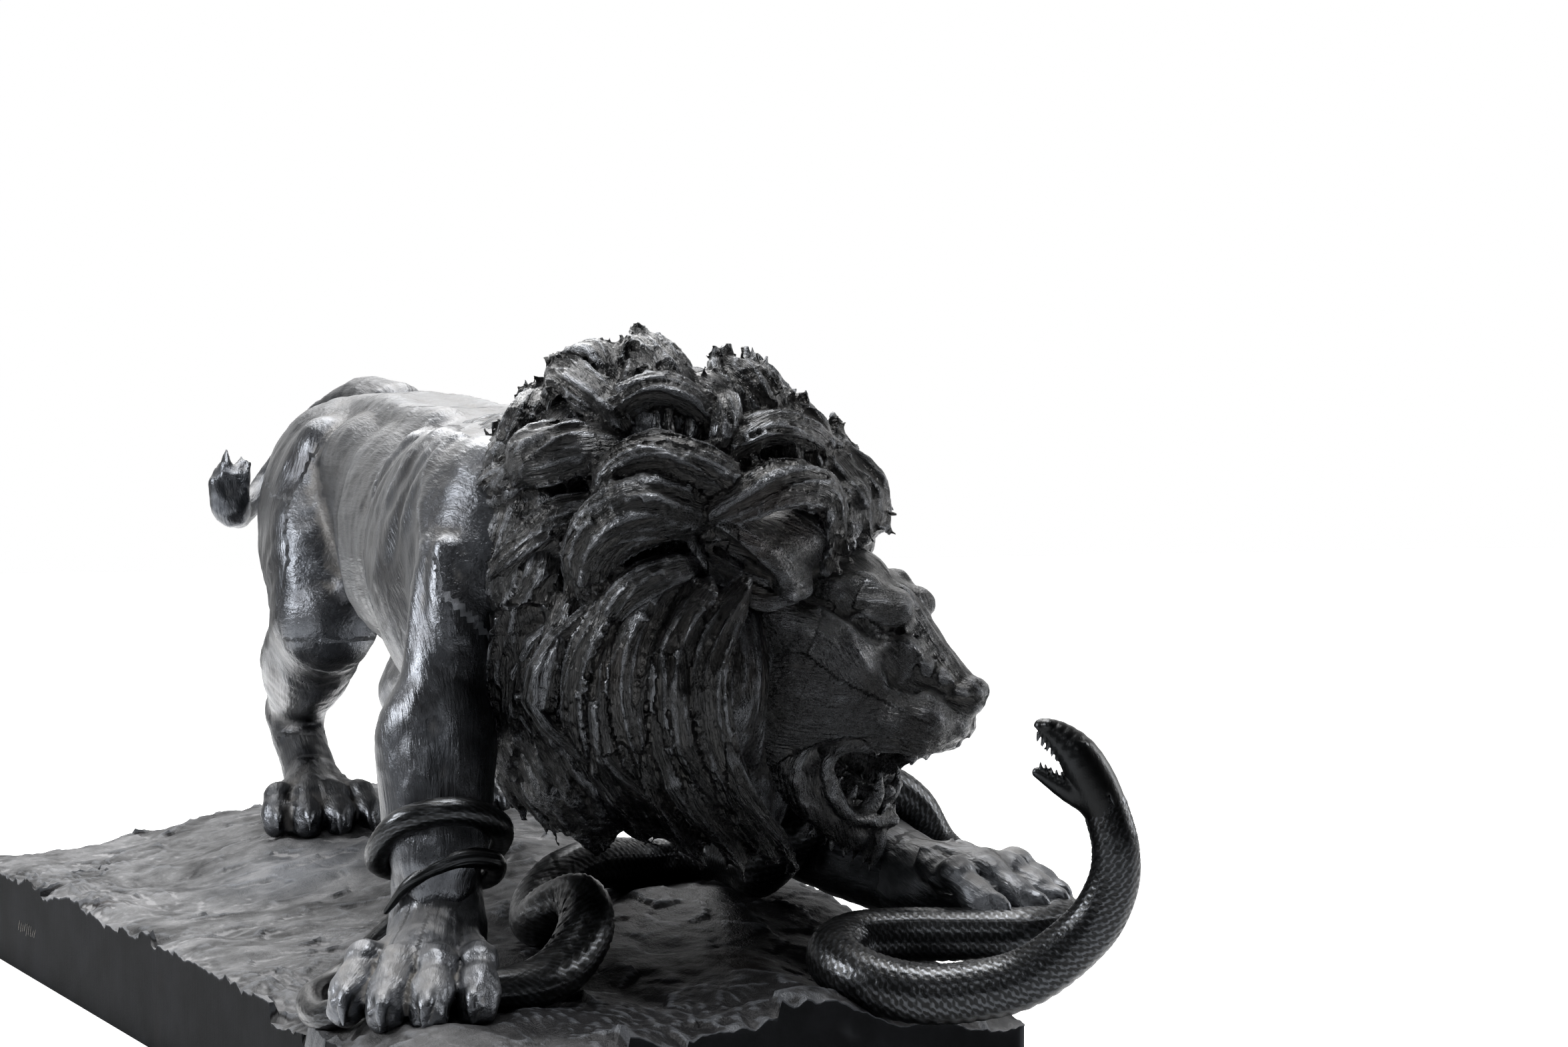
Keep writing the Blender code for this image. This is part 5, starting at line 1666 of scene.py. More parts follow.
    def scales(self, line: np.ndarray, run: np.ndarray, angle: np.ndarray, ring: np.ndarray) -> np.ndarray:
        """Works out the relief of the scales.

        Args:
            line: The middle line with its radii.
            run: The distance along it.
            angle: The angles round it.
            ring: The outward way at each point.

        Returns:
            How far each point stands out.
        """
        pitch = 2.0 * math.pi * line[:, 3] / self.scales_round * 1.15
        rows = np.r_[0.0, np.cumsum(np.diff(run) / pitch[1:])][:, None]
        column = (angle / (2.0 * math.pi) * self.scales_round)[None, :]
        best = np.full((len(line), len(angle)), 9.0)
        lean = np.zeros_like(best)
        for shift in (0.0, 0.5):
            da = column - shift - np.round(column - shift)
            db = rows - shift - np.round(rows - shift)
            reach = np.abs(da) * 1.02 + np.abs(db)
            closer = reach < best
            best = np.where(closer, reach, best)
            lean = np.where(closer, db, lean)
        size = np.minimum(line[:, 3] / 0.0165, 1.2)[:, None]
        relief = 0.0010 * (1.0 - (best / 0.5) ** 2.2) - 0.0006 * lean
        # Wide plates across the belly, which faces down on the coil and the lion on the neck
        belly = ease(0.55, 0.85, -ring[..., 2])
        plates = 0.0008 * (np.abs((rows * 0.8) % 1.0 - 0.5) * 2.0) ** 0.6 * np.ones_like(column)
        return size * (relief * (1.0 - belly) + (plates - 0.0003) * belly)

    def head(self, clay: Clay) -> None:
        """Adds the head, with its jaws apart, to the clay."""
        crown = ((0.579, 0.2125, 0.196, 0.0128), (0.574, 0.205, 0.216, 0.0142), (0.569, 0.196, 0.234, 0.0130))
        crown += ((0.563, 0.186, 0.246, 0.0092), (0.558, 0.178, 0.2515, 0.0052))
        clay.add(Limb(pairs(crown)), 0.003)
        jaw = (
            (0.575, 0.207, 0.206, 0.0095), (0.567, 0.192, 0.2135, 0.0074), (0.5585, 0.1745, 0.2245, 0.0034)
        )
        clay.add(Limb(pairs(jaw)), 0.003)
        gape = (
            (0.5665, 0.1915, 0.2225, 0.0020), (0.560, 0.181, 0.2325, 0.0060), (0.553, 0.170, 0.2420, 0.0105)
        )
        clay.cut(Limb(pairs(gape), 3, (0.85, -0.5, 0.0), 0.8), 0.001)
        along, out = unit([-0.50, -0.86, 0.0]), unit([0.86, -0.50, 0.0])
        for side in (-1, 1):
            eye = np.array([0.568, 0.196, 0.2385]) + out * side * 0.0098
            clay.add(Egg(eye, (0.0035, 0.0035, 0.0035)), 0.0004)
            brow = [
                (eye + [0, 0, 0.0035] - along * 0.004, 0.0018), (eye + [0, 0, 0.0042] + along * 0.004, 0.0016)
            ]
            clay.add(Limb(brow, 1), 0.0012)
            # For each row of teeth: its back, its front, how far out it stands and a tooth's width and reach
            upper = (
                (0.5665, 0.1905, 0.2305), (0.557, 0.1765, 0.2475), 0.0072, 0.0035, 0.0014,
                (-0.001, -0.001, -0.0045),
            )
            lower = (
                (0.5685, 0.1935, 0.2170), (0.5595, 0.1765, 0.2265), 0.0055, 0.0030, 0.0013,
                (-0.0005, -0.0005, 0.0042),
            )
            for t in np.arange(7) / 6.0:
                for back, front, wide, less, thick, reach in (upper, lower):
                    root = np.array(back) * (1 - t) + np.array(front) * t + out * side * (wide - less * t)
                    clay.add(Limb([(root, thick), (root + reach, 0.0005)], 1), 0.0006)
            for plate in range(5):
                t = plate / 4.0
                spot = np.array([0.5745, 0.2065, 0.222]) * (1 - t) + np.array([0.560, 0.181, 0.2525]) * t
                clay.add(Egg(spot + out * side * (0.0050 - 0.002 * t), (0.0046, 0.0046, 0.0040)), 0.0008)
        for groove in range(3):
            start = np.array([0.5835, 0.2135, 0.200 - 0.004 * groove]) + out * 0.008 * (groove - 1)
            clay.cut(Limb([(start, 0.0012), (start + [-0.003, -0.004, 0.020], 0.0010)], 2), 0.0015)


@dataclass
class Plinth:
    """The rocky block under the group: a modelled top with chipped rims over smooth upright walls."""

    length: float = 1.0
    width: float = 0.41
    cell: float = 0.0029
    corner: float = 0.004
    seed: int = 5
    # The scratched marks on the near wall: the middle of the first stroke, the pitch and the stroke's height
    marks_at: tuple[float, float] = (-0.338, 0.036)
    marks_pitch: float = 0.0062
    marks_tall: float = 0.011

    def facets(self, x: np.ndarray, y: np.ndarray, size: float, tilt: float, seed: int) -> np.ndarray:
        """Gives flat chips with sharp creases between them, one to each cell of a jittered grid.

        Args:
            x: Distances ahead.
            y: Distances to the left.
            size: The chips' size.
            tilt: How steep they are.
            seed: Sets the random numbers.

        Returns:
            The height of the chips.
        """
        random = np.random.default_rng(seed)
        jitter, slope = random.uniform(0.1, 0.9, (64, 64, 2)), random.normal(0.0, tilt, (64, 64, 2))
        drop = random.uniform(-1.0, 1.0, (64, 64)) * tilt * size * 0.5
        column, row = np.floor(x / size).astype(int), np.floor(y / size).astype(int)
        nearest, height = np.full(x.shape, 9.0), np.zeros(x.shape)
        for i in (-1, 0, 1):
            for j in (-1, 0, 1):
                a, b = (column + i) % 64, (row + j) % 64
                dx = x / size - (column + i) - jitter[a, b, 0]
                dy = y / size - (row + j) - jitter[a, b, 1]
                gap = dx * dx + dy * dy
                closer = gap < nearest
                nearest = np.where(closer, gap, nearest)
                plane = (dx * slope[a, b, 0] + dy * slope[a, b, 1]) * size + drop[a, b]
                height = np.where(closer, plane, height)
        return height

    def relief(self, x: np.ndarray, y: np.ndarray) -> np.ndarray:
        """Gives the modelled rock's relief over the plain ground, in metres."""
        grit = Grit(self.seed)
        flat = np.zeros_like(x)
        lumps = 0.0028 * grit.fractal(np.stack([x * 22, y * 22, flat], -1), 4)
        swirl = 0.4 * grit.at(np.stack([x * 9, y * 9, flat + 3], -1))
        strokes = 0.0022 * grit.at(np.stack([x * 60 + 20 * swirl, y * 240 + 60 * swirl, flat + 9], -1))
        worn = np.clip(grit.at(np.stack([x * 11, y * 11, flat + 5], -1)) + 0.35, 0.0, 1.0)
        crags = self.facets(x, y, 0.034, 0.17, 3) + 0.35 * self.facets(x + 0.3, y + 0.1, 0.014, 0.20, 4)
        rim = np.minimum(0.5 * self.length - np.abs(x), 0.5 * self.width - np.abs(y))
        edge = ease(0.030, 0.004, rim)
        broken = ease(0.35, 0.50, x) * 0.8 + ease(0.20, 0.34, x) * ease(-0.12, -0.19, y) + 0.12
        relief = lumps + strokes * worn + crags * (0.34 + 0.85 * edge * np.minimum(broken, 1.0))
        ragged = np.abs(grit.fractal(np.stack([x * 70, y * 70, flat + 7], -1), 2))
        return relief - ease(0.020, 0.0, rim) * (0.0020 + 0.0030 * ragged)

    def painted_highlight_rock(self, x: np.ndarray, y: np.ndarray) -> np.ndarray:
        """Gives the painted highlight beside the near hind foot a share from 0 to 1: a lighter patch of the
        rubbed colour where the rock catches the light.
        """
        return hill(x, y, (-0.14, -0.035), 0.045)

    def painted_shade_rock(self, x: np.ndarray, y: np.ndarray) -> np.ndarray:
        """Gives the painted shade on the rock between the forefeet a share from 0 to 1: the dust is taken off
        there, so the dark patina stands in for the shadow under the head and chest.
        """
        between = hill(x, y, (0.38, -0.02), 0.09) + hill(x, y, (0.28, 0.04), 0.10)
        return np.clip(1.8 * between, 0.0, 1.0)

    def top(self) -> tuple[np.ndarray, np.ndarray, list]:
        """Builds the modelled top.

        Returns:
            Its points, its faces, and the numbers of the points round its rim.
        """
        along = round(self.length / (self.cell * COARSENESS))
        wide = round(self.width / (self.cell * COARSENESS))
        xs = np.linspace(-0.5, 0.5, along + 1) * self.length
        ys = np.linspace(-0.5, 0.5, wide + 1) * self.width
        x, y = (grid.ravel() for grid in np.meshgrid(xs, ys, indexing="ij"))
        z = ground_height(x, y) + self.relief(x, y)
        # The corners are rounded by drawing the grid's corner squares onto a quarter circle
        inner = np.array([0.5 * self.length - self.corner, 0.5 * self.width - self.corner])
        over = np.stack([np.abs(x), np.abs(y)], 1) - inner
        at_corner = (over > 0).all(axis=1)
        length = np.linalg.norm(over, axis=1)
        scale = np.where(at_corner, over.max(axis=1) / np.maximum(length, 1e-9), 1.0)
        x = np.where(at_corner, np.copysign(inner[0] + over[:, 0] * scale, x), x)
        y = np.where(at_corner, np.copysign(inner[1] + over[:, 1] * scale, y), y)
        index = np.arange(len(x)).reshape(along + 1, wide + 1)
        faces = np.stack([index[:-1, :-1], index[1:, :-1], index[1:, 1:], index[:-1, 1:]], -1).reshape(-1, 4)
        rim = list(index[:, 0]) + list(index[-1, 1:]) + list(index[-2::-1, -1]) + list(index[0, -2:0:-1])
        return np.stack([x, y, z], 1), faces, rim

    def build(self) -> bpy.types.Object:
        """Builds the plinth as one piece with rock on top and satin walls."""
        points, faces, rim = self.top()
        top_count = len(faces)
        rim = np.array(rim)
        grit = Grit(self.seed + 1)
        rows = [rim]
        for share in (0.985, 0.95, 0.8, 0.6, 0.4, 0.2, 0.03, 0.0):
            edge = points[rim].copy()
            edge[:, 2] *= share
            wave = 0.00025 * grit.fractal(
                np.stack([edge[:, 0] * 25, edge[:, 1] * 25, edge[:, 2] * 60], -1), 2
            )
            inward = 1.0 - (0.0004 + wave - (0.0006 if share == 0.0 else 0.0))[:, None] / 0.3
            inward = np.minimum(inward, 1.0)
            edge[:, :2] *= inward
            rows.append(np.arange(len(points), len(points) + len(rim)))
            points = np.vstack([points, edge])
        walls = []
        for upper, lower in zip(rows, rows[1:]):
            walls.append(np.stack([upper, lower, np.roll(lower, -1), np.roll(upper, -1)], -1))
        faces = np.vstack([faces] + walls)
        skin = Skin(points, faces)
        x, y = points[:, 0], points[:, 1]
        # The painted shade share takes the dust off the rock between the forefeet, so its dark patina stands
        # in for the shadow there
        # The worn share is a painted highlight: a lighter patch of the rubbed colour on the rock beside the
        # near hind foot
        values = {"hollow": skin.hollow(6), "worn": self.painted_highlight_rock(x, y), "painted_shade": self.painted_shade_rock(x, y)}
        piece = make_piece("rocky_plinth", skin, Casting.BASE, values, (ROCK, WALL), rows[-1])
        names = np.zeros(len(piece.data.polygons), np.int32)
        names[top_count:] = 1
        piece.data.polygons.foreach_set("material_index", names)
        piece.data.set_sharp_from_angle(angle=math.radians(50))
        return piece

    def marks(self) -> bpy.types.Object:
        """Builds the rows of shallow strokes scratched into the near wall, which aren't letters."""
        random = np.random.default_rng(self.seed)
        clay = Clay(0.0007, 12)
        for stroke in range(9):
            x = self.marks_at[0] + self.marks_pitch * stroke - 0.5 * self.marks_pitch * 8
            z = self.marks_at[1] + random.uniform(-0.001, 0.001)
            lean = random.uniform(0.001, 0.003)
            tall = 0.5 * self.marks_tall * random.uniform(0.5, 1.0)
            wall = -0.5 * self.width + 0.0002
            rows = (
                (x - lean, wall, z - tall, 0.0005), (x, wall, z, 0.00065), (x + lean, wall, z + tall, 0.0004)
            )
            clay.add(Limb(pairs(rows), 2), 0.0002)
        clay.model()
        skin = Skin(*clay.surface())
        values = {"hollow": skin.hollow(3) + 0.6}
        return make_piece("scratched_strokes", skin, Casting.BASE, values, (SCRATCH,))


def linear(colour: str) -> tuple[float, float, float, float]:
    """Turns an sRGB hex colour into linear numbers with full cover."""
    parts = [int(colour[k : k + 2], 16) / 255.0 for k in (1, 3, 5)]
    return tuple(p / 12.92 if p <= 0.04045 else ((p + 0.055) / 1.055) ** 2.4 for p in parts) + (1.0,)


def node(
    tree: bpy.types.NodeTree, kind: str, settings: dict | None = None, links: dict | None = None
) -> bpy.types.Node:
    """Adds a node with its settings and links.

    Args:
        tree: The node tree.
        kind: Blender's name for the node.
        settings: Values by the name of a property, or by the name or number of an input.
        links: What goes into inputs, by name or number: a socket of another node.

    Returns:
        The node.
    """
    made = tree.nodes.new(kind)
    for name, value in (settings or {}).items():
        if isinstance(name, str) and hasattr(made, name):
            setattr(made, name, value)
        else:
            made.inputs[name].default_value = value
    for name, socket in (links or {}).items():
        tree.links.new(socket, made.inputs[name])
    return made


@dataclass(frozen=True)
class Wiring:
    """Short ways to add the usual nodes to a node tree."""

    tree: bpy.types.NodeTree

    def number(self, name: str) -> bpy.types.NodeSocket:
        """Reads a number that the mesh's points carry."""
        return node(self.tree, "ShaderNodeAttribute", {"attribute_name": name}).outputs["Fac"]

    def noise(
        self, place: bpy.types.NodeSocket, scale: float, detail: float, rough: float = 0.5
    ) -> bpy.types.NodeSocket:
        """Adds noise from 0 to 1."""
        settings = {"Scale": scale, "Detail": detail, "Roughness": rough}
        return node(self.tree, "ShaderNodeTexNoise", settings, {"Vector": place}).outputs["Fac"]

    def ramp(self, value: bpy.types.NodeSocket, low: float, high: float) -> bpy.types.NodeSocket:
        """Stretches a value to 0 to 1 between a low and a high one."""
        settings = {"interpolation_type": "SMOOTHSTEP", 1: low, 2: high}
        return node(self.tree, "ShaderNodeMapRange", settings, {0: value}).outputs[0]

    def worked(self, kind: str, first: object, second: object) -> bpy.types.NodeSocket:
        """Works two values, each a socket or a number, into one that is clamped to 0 to 1."""
        made = node(self.tree, "ShaderNodeMath", {"operation": kind, "use_clamp": True})
        for number, value in enumerate((first, second)):
            if isinstance(value, bpy.types.NodeSocket):
                self.tree.links.new(value, made.inputs[number])
            else:
                made.inputs[number].default_value = value
        return made.outputs[0]

    def plus(self, first: object, second: object) -> bpy.types.NodeSocket:
        """Adds two values."""
        return self.worked("ADD", first, second)

    def less(self, first: object, second: object) -> bpy.types.NodeSocket:
        """Takes the second value from the first."""
        return self.worked("SUBTRACT", first, second)

    def times(self, first: object, second: object) -> bpy.types.NodeSocket:
        """Multiplies two values."""
        return self.worked("MULTIPLY", first, second)

    def blended(self, share: bpy.types.NodeSocket, first: object, second: object) -> bpy.types.NodeSocket:
        """Mixes two colours, each a socket or a hex colour."""
        made = node(self.tree, "ShaderNodeMix", {"data_type": "RGBA"}, {0: share})
        for number, value in ((6, first), (7, second)):
            if isinstance(value, str):
                made.inputs[number].default_value = linear(value)
            else:
                self.tree.links.new(value, made.inputs[number])
        return made.outputs[2]

    def bump(
        self, height: bpy.types.NodeSocket, depth: float, under: bpy.types.NodeSocket | None = None
    ) -> bpy.types.NodeSocket:
        """Presses a height, with its depth in millimetres, into the surface or into another bump."""
        links = {"Height": height} | ({"Normal": under} if under else {})
        return node(
            self.tree, "ShaderNodeBump", {"Strength": 1.0, "Distance": depth * MILLIMETRE}, links
        ).outputs[0]


@dataclass(frozen=True)
class PatinatedBronze:
    """Cast bronze under a dark chemical patina and wax.

    It is nearly black and softly glossy. The modelling tool left fine strokes, dust lies in the hollows and
    on what faces up, and the high edges are rubbed; their lighter colour is partly real wear and partly a
    painted highlight. On the rock a painted highlight (worn) adds the rubbed colour and a painted shade takes
    the dust off.
    Sizes and depths are in millimetres.
    """

    name: str
    patina: str = "#202123"
    bloom: str = "#36393E"
    # The rubbed colour: real wear on the high edges, and partly a painted highlight
    rubbed: str = "#5C5F64"
    brown: str = "#3C2A1E"
    dust: str = "#625E58"
    roughness: float = 0.34
    dusty_roughness: float = 0.88
    dusty: float = 0.45
    # How much rubbed colour the ridges get: partly real wear, partly a painted highlight
    rub_and_highlight: float = 0.4
    browned: float = 0.12
    stroke_across: float = 3.2
    stroke_along: float = 26.0
    stroke_depth: float = 0.30
    skin_grain: float = 1.1
    skin_depth: float = 0.10
    metal: float = 1.0
    wax: float = 0.22
    wax_roughness: float = 0.30
    gloss: float = 0.5

    def dust_share(
        self,
        wire: Wiring,
        strokes: bpy.types.NodeSocket,
        blotch: bpy.types.NodeSocket,
        cloud: bpy.types.NodeSocket,
    ) -> bpy.types.NodeSocket:
        """Lays dust on what faces up, thinner where a cloth has been, and packs it into the hollows. Where the
        painted shade is laid, the dust is taken off, so the dark patina paints the shade in.

        Args:
            wire: The material's wiring.
            strokes: The noise of the tool strokes.
            blotch: The noise of the patina's blotches.
            cloud: The noise of wide clouds.

        Returns:
            How much dust lies there, from 0 to 1.
        """
        up = node(
            wire.tree,
            "ShaderNodeSeparateXYZ",
            None,
            {0: node(wire.tree, "ShaderNodeNewGeometry").outputs["Normal"]},
        )
        lying = wire.times(wire.ramp(up.outputs["Z"], 0.35, 1.0), wire.ramp(blotch, 0.25, 0.75))
        packed = wire.times(wire.ramp(wire.number("hollow"), 0.05, 0.9), wire.ramp(cloud, 0.30, 0.65))
        fine = wire.times(wire.ramp(strokes, 0.50, 0.30), 0.35)
        dust = wire.plus(wire.times(lying, 0.75), wire.times(packed, 0.8))
        dust = wire.times(wire.plus(dust, wire.times(dust, fine)), self.dusty)
        # The painted shade takes the dust off, so the dark patina stands in for shadow
        return wire.times(dust, wire.less(1.0, wire.number("painted_shade")))

    def material(self) -> bpy.types.Material:
        """Builds the node material."""
        made = bpy.data.materials.new(self.name)
        made.use_nodes = True
        tree = made.node_tree
        wire, shader = Wiring(tree), tree.nodes["Principled BSDF"]
        place = node(tree, "ShaderNodeTexCoord").outputs["Object"]
        grain = node(tree, "ShaderNodeAttribute", {"attribute_name": "grain"}).outputs["Vector"]
        scale = (1.0 / self.stroke_across, 1.0 / self.stroke_across, 1.0 / self.stroke_along)
        combed = node(tree, "ShaderNodeMapping", {"Scale": scale}, {"Vector": grain}).outputs[0]
        strokes = wire.noise(combed, 1.0, 4.0, 0.62)
        skin = wire.noise(place, 1000.0 / self.skin_grain, 2.0)
        blotch, cloud = wire.noise(place, 28.0, 4.0, 0.6), wire.noise(place, 9.0, 3.0)
        dust = self.dust_share(wire, strokes, blotch, cloud)
        # Lighter rubbed colour on the high ridges: partly real wear, partly a painted highlight, raised on the
        # face and the mane for glints
        edges = wire.times(wire.ramp(wire.number("hollow"), -0.10, -0.75), self.rub_and_highlight)
        # The worn share lays the rubbed colour on the rock as a painted highlight
        edges = wire.plus(edges, wire.times(wire.number("worn"), 0.8))
        # The colour, from the patina under the rubbed metal and painted highlights to the dust on top
        colour = wire.blended(wire.ramp(blotch, 0.30, 0.75), self.patina, self.bloom)
        colour = wire.blended(wire.times(wire.ramp(cloud, 0.60, 0.75), self.browned), colour, self.brown)
        colour = wire.blended(dust, wire.blended(edges, colour, self.rubbed), self.dust)
        tree.links.new(colour, shader.inputs["Base Color"])
        shine = wire.less(1.0, wire.times(dust, 1.3))
        tree.links.new(wire.times(shine, self.metal), shader.inputs["Metallic"])
        range_of = {1: 0.0, 2: 1.0, 3: self.roughness, 4: self.dusty_roughness}
        rough = node(tree, "ShaderNodeMapRange", range_of, {0: wire.times(dust, 1.5)}).outputs[0]
        uneven = node(
            tree, "ShaderNodeMath", {"operation": "MULTIPLY_ADD", 1: 0.16, 2: -0.08}, {0: skin}
        ).outputs[0]
        rough = wire.less(wire.plus(rough, uneven), wire.times(edges, 0.12))
        tree.links.new(rough, shader.inputs["Roughness"])
        shader.inputs["Specular IOR Level"].default_value = self.gloss
        shader.inputs["Coat Weight"].default_value = self.wax
        shader.inputs["Coat Roughness"].default_value = self.wax_roughness
        bump = wire.bump(strokes, self.stroke_depth * 3.0, wire.bump(skin, self.skin_depth))
        tree.links.new(bump, shader.inputs["Normal"])
        tree.links.new(bump, shader.inputs["Coat Normal"])
        return made


# Hair combed with a fine toothed tool, over a waxed skin
HIDE = PatinatedBronze("waxed bronze hide", patina="#2A2B2E", bloom="#44474C", dusty=0.52)
# The feet are handled and dusty, and painted paler than the hide: partly dust, partly a painted highlight for
# the light that falls on the paws
FOOT = PatinatedBronze(
    "handled bronze foot", patina="#46484C", bloom="#6A6D72", dusty=0.85, roughness=0.38, rub_and_highlight=0.6
)
# The mane is the blackest, deeply combed, and its wax glints along the strands; the lighter rubbed colour on
# its ridges is partly a painted glint
HAIR = PatinatedBronze(
    "waxed bronze mane",
    patina="#0D0E0F",
    bloom="#17181A",
    dusty=0.10,
    rub_and_highlight=0.5,
    stroke_depth=1.3,
    stroke_across=2.6,
    roughness=0.30,
    wax=0.5,
    wax_roughness=0.22,
)
# The face is smoother, and keeps its polish; the rubbed colour on the bumps of its brow and muzzle is partly a
# painted highlight
FACE = PatinatedBronze(
    "waxed bronze face",
    patina="#161718",
    bloom="#26282B",
    dusty=0.26,
    rub_and_highlight=0.45,
    stroke_depth=1.0,
    stroke_across=2.2,
    stroke_along=15.0,
    roughness=0.27,
    browned=0.2,
    wax=0.7,
    wax_roughness=0.20,
)
# The snake's scales are rubbed at their tips and browner in places
SCALES = PatinatedBronze(
    "waxed bronze scales",
    patina="#0E0F10",
    bloom="#191B1D",
    dusty=0.16,
    rub_and_highlight=0.4,
    browned=0.3,
    stroke_depth=0.10,
    roughness=0.34,
)
# The rock is dry, dusty and unwaxed
ROCK = PatinatedBronze(
    "dusty bronze rock",
    patina="#121213",
    bloom="#1E1E20",
    dust="#828283",
    dusty=0.9,
    roughness=0.46,
    stroke_depth=0.3,
    skin_depth=0.35,
    metal=0.3,
    wax=0.0,
    gloss=0.15,
)
# The walls were filed flat and hold neither wax nor dust: a dark satin
WALL = PatinatedBronze(
    "satin bronze wall",
    patina="#131415",
    bloom="#191A1C",
    dusty=0.0,
    roughness=0.46,
    stroke_depth=0.05,
    rub_and_highlight=0.3,
    metal=0.12,
    wax=0.0,
    gloss=0.0,
)
# A scratch shows slightly brighter metal
SCRATCH = PatinatedBronze("scratched bronze", patina="#34322F", bloom="#47443F", dusty=0.3, stroke_depth=0.02)


def make_piece(
    name: str,
    skin: Skin,
    casting: Casting,
    values: dict[str, np.ndarray],
    finishes: tuple[PatinatedBronze, ...],
    lid: np.ndarray | None = None,
) -> bpy.types.Object:
    """Makes a mesh object of a skin and hands it to the frame.

    Args:
        name: The piece's name.
        skin: Its points, faces and grain.
        casting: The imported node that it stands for.
        values: One number for each point, by the name that the material reads.
        finishes: Its materials.
        lid: The numbers of the points round one more, flat, face that closes the piece.

    Returns:
        The object.
    """
    mesh = bpy.data.meshes.new(name)
    corner = skin.faces.ravel()
    starts = np.arange(0, len(corner), 4)
    if lid is not None:
        starts = np.append(starts, len(corner))
        corner = np.concatenate([corner, lid])
    mesh.vertices.add(len(skin.points))
    mesh.vertices.foreach_set("co", skin.points.astype(np.float32).ravel())
    mesh.loops.add(len(corner))
    mesh.loops.foreach_set("vertex_index", corner.astype(np.int32))
    mesh.polygons.add(len(starts))
    mesh.polygons.foreach_set("loop_start", starts.astype(np.int32))
    mesh.polygons.foreach_set("use_smooth", np.ones(len(starts), bool))
    mesh.update(calc_edges=True)
    mesh.validate()
    grain = mesh.attributes.new("grain", "FLOAT_VECTOR", "POINT")
    grain.data.foreach_set("vector", skin.grain.astype(np.float32).ravel())
    for label, numbers in values.items():
        mesh.attributes.new(label, "FLOAT", "POINT").data.foreach_set(
            "value", np.asarray(numbers, np.float32)
        )
    piece = bpy.data.objects.new(name, mesh)
    bpy.context.collection.objects.link(piece)
    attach(piece, "root")
    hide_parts(casting.value)
    for finish in finishes:
        mesh.materials.append(finish.material())
    LOG.info("%s: %d points, %d faces", name, len(skin.points), len(starts))
    return piece


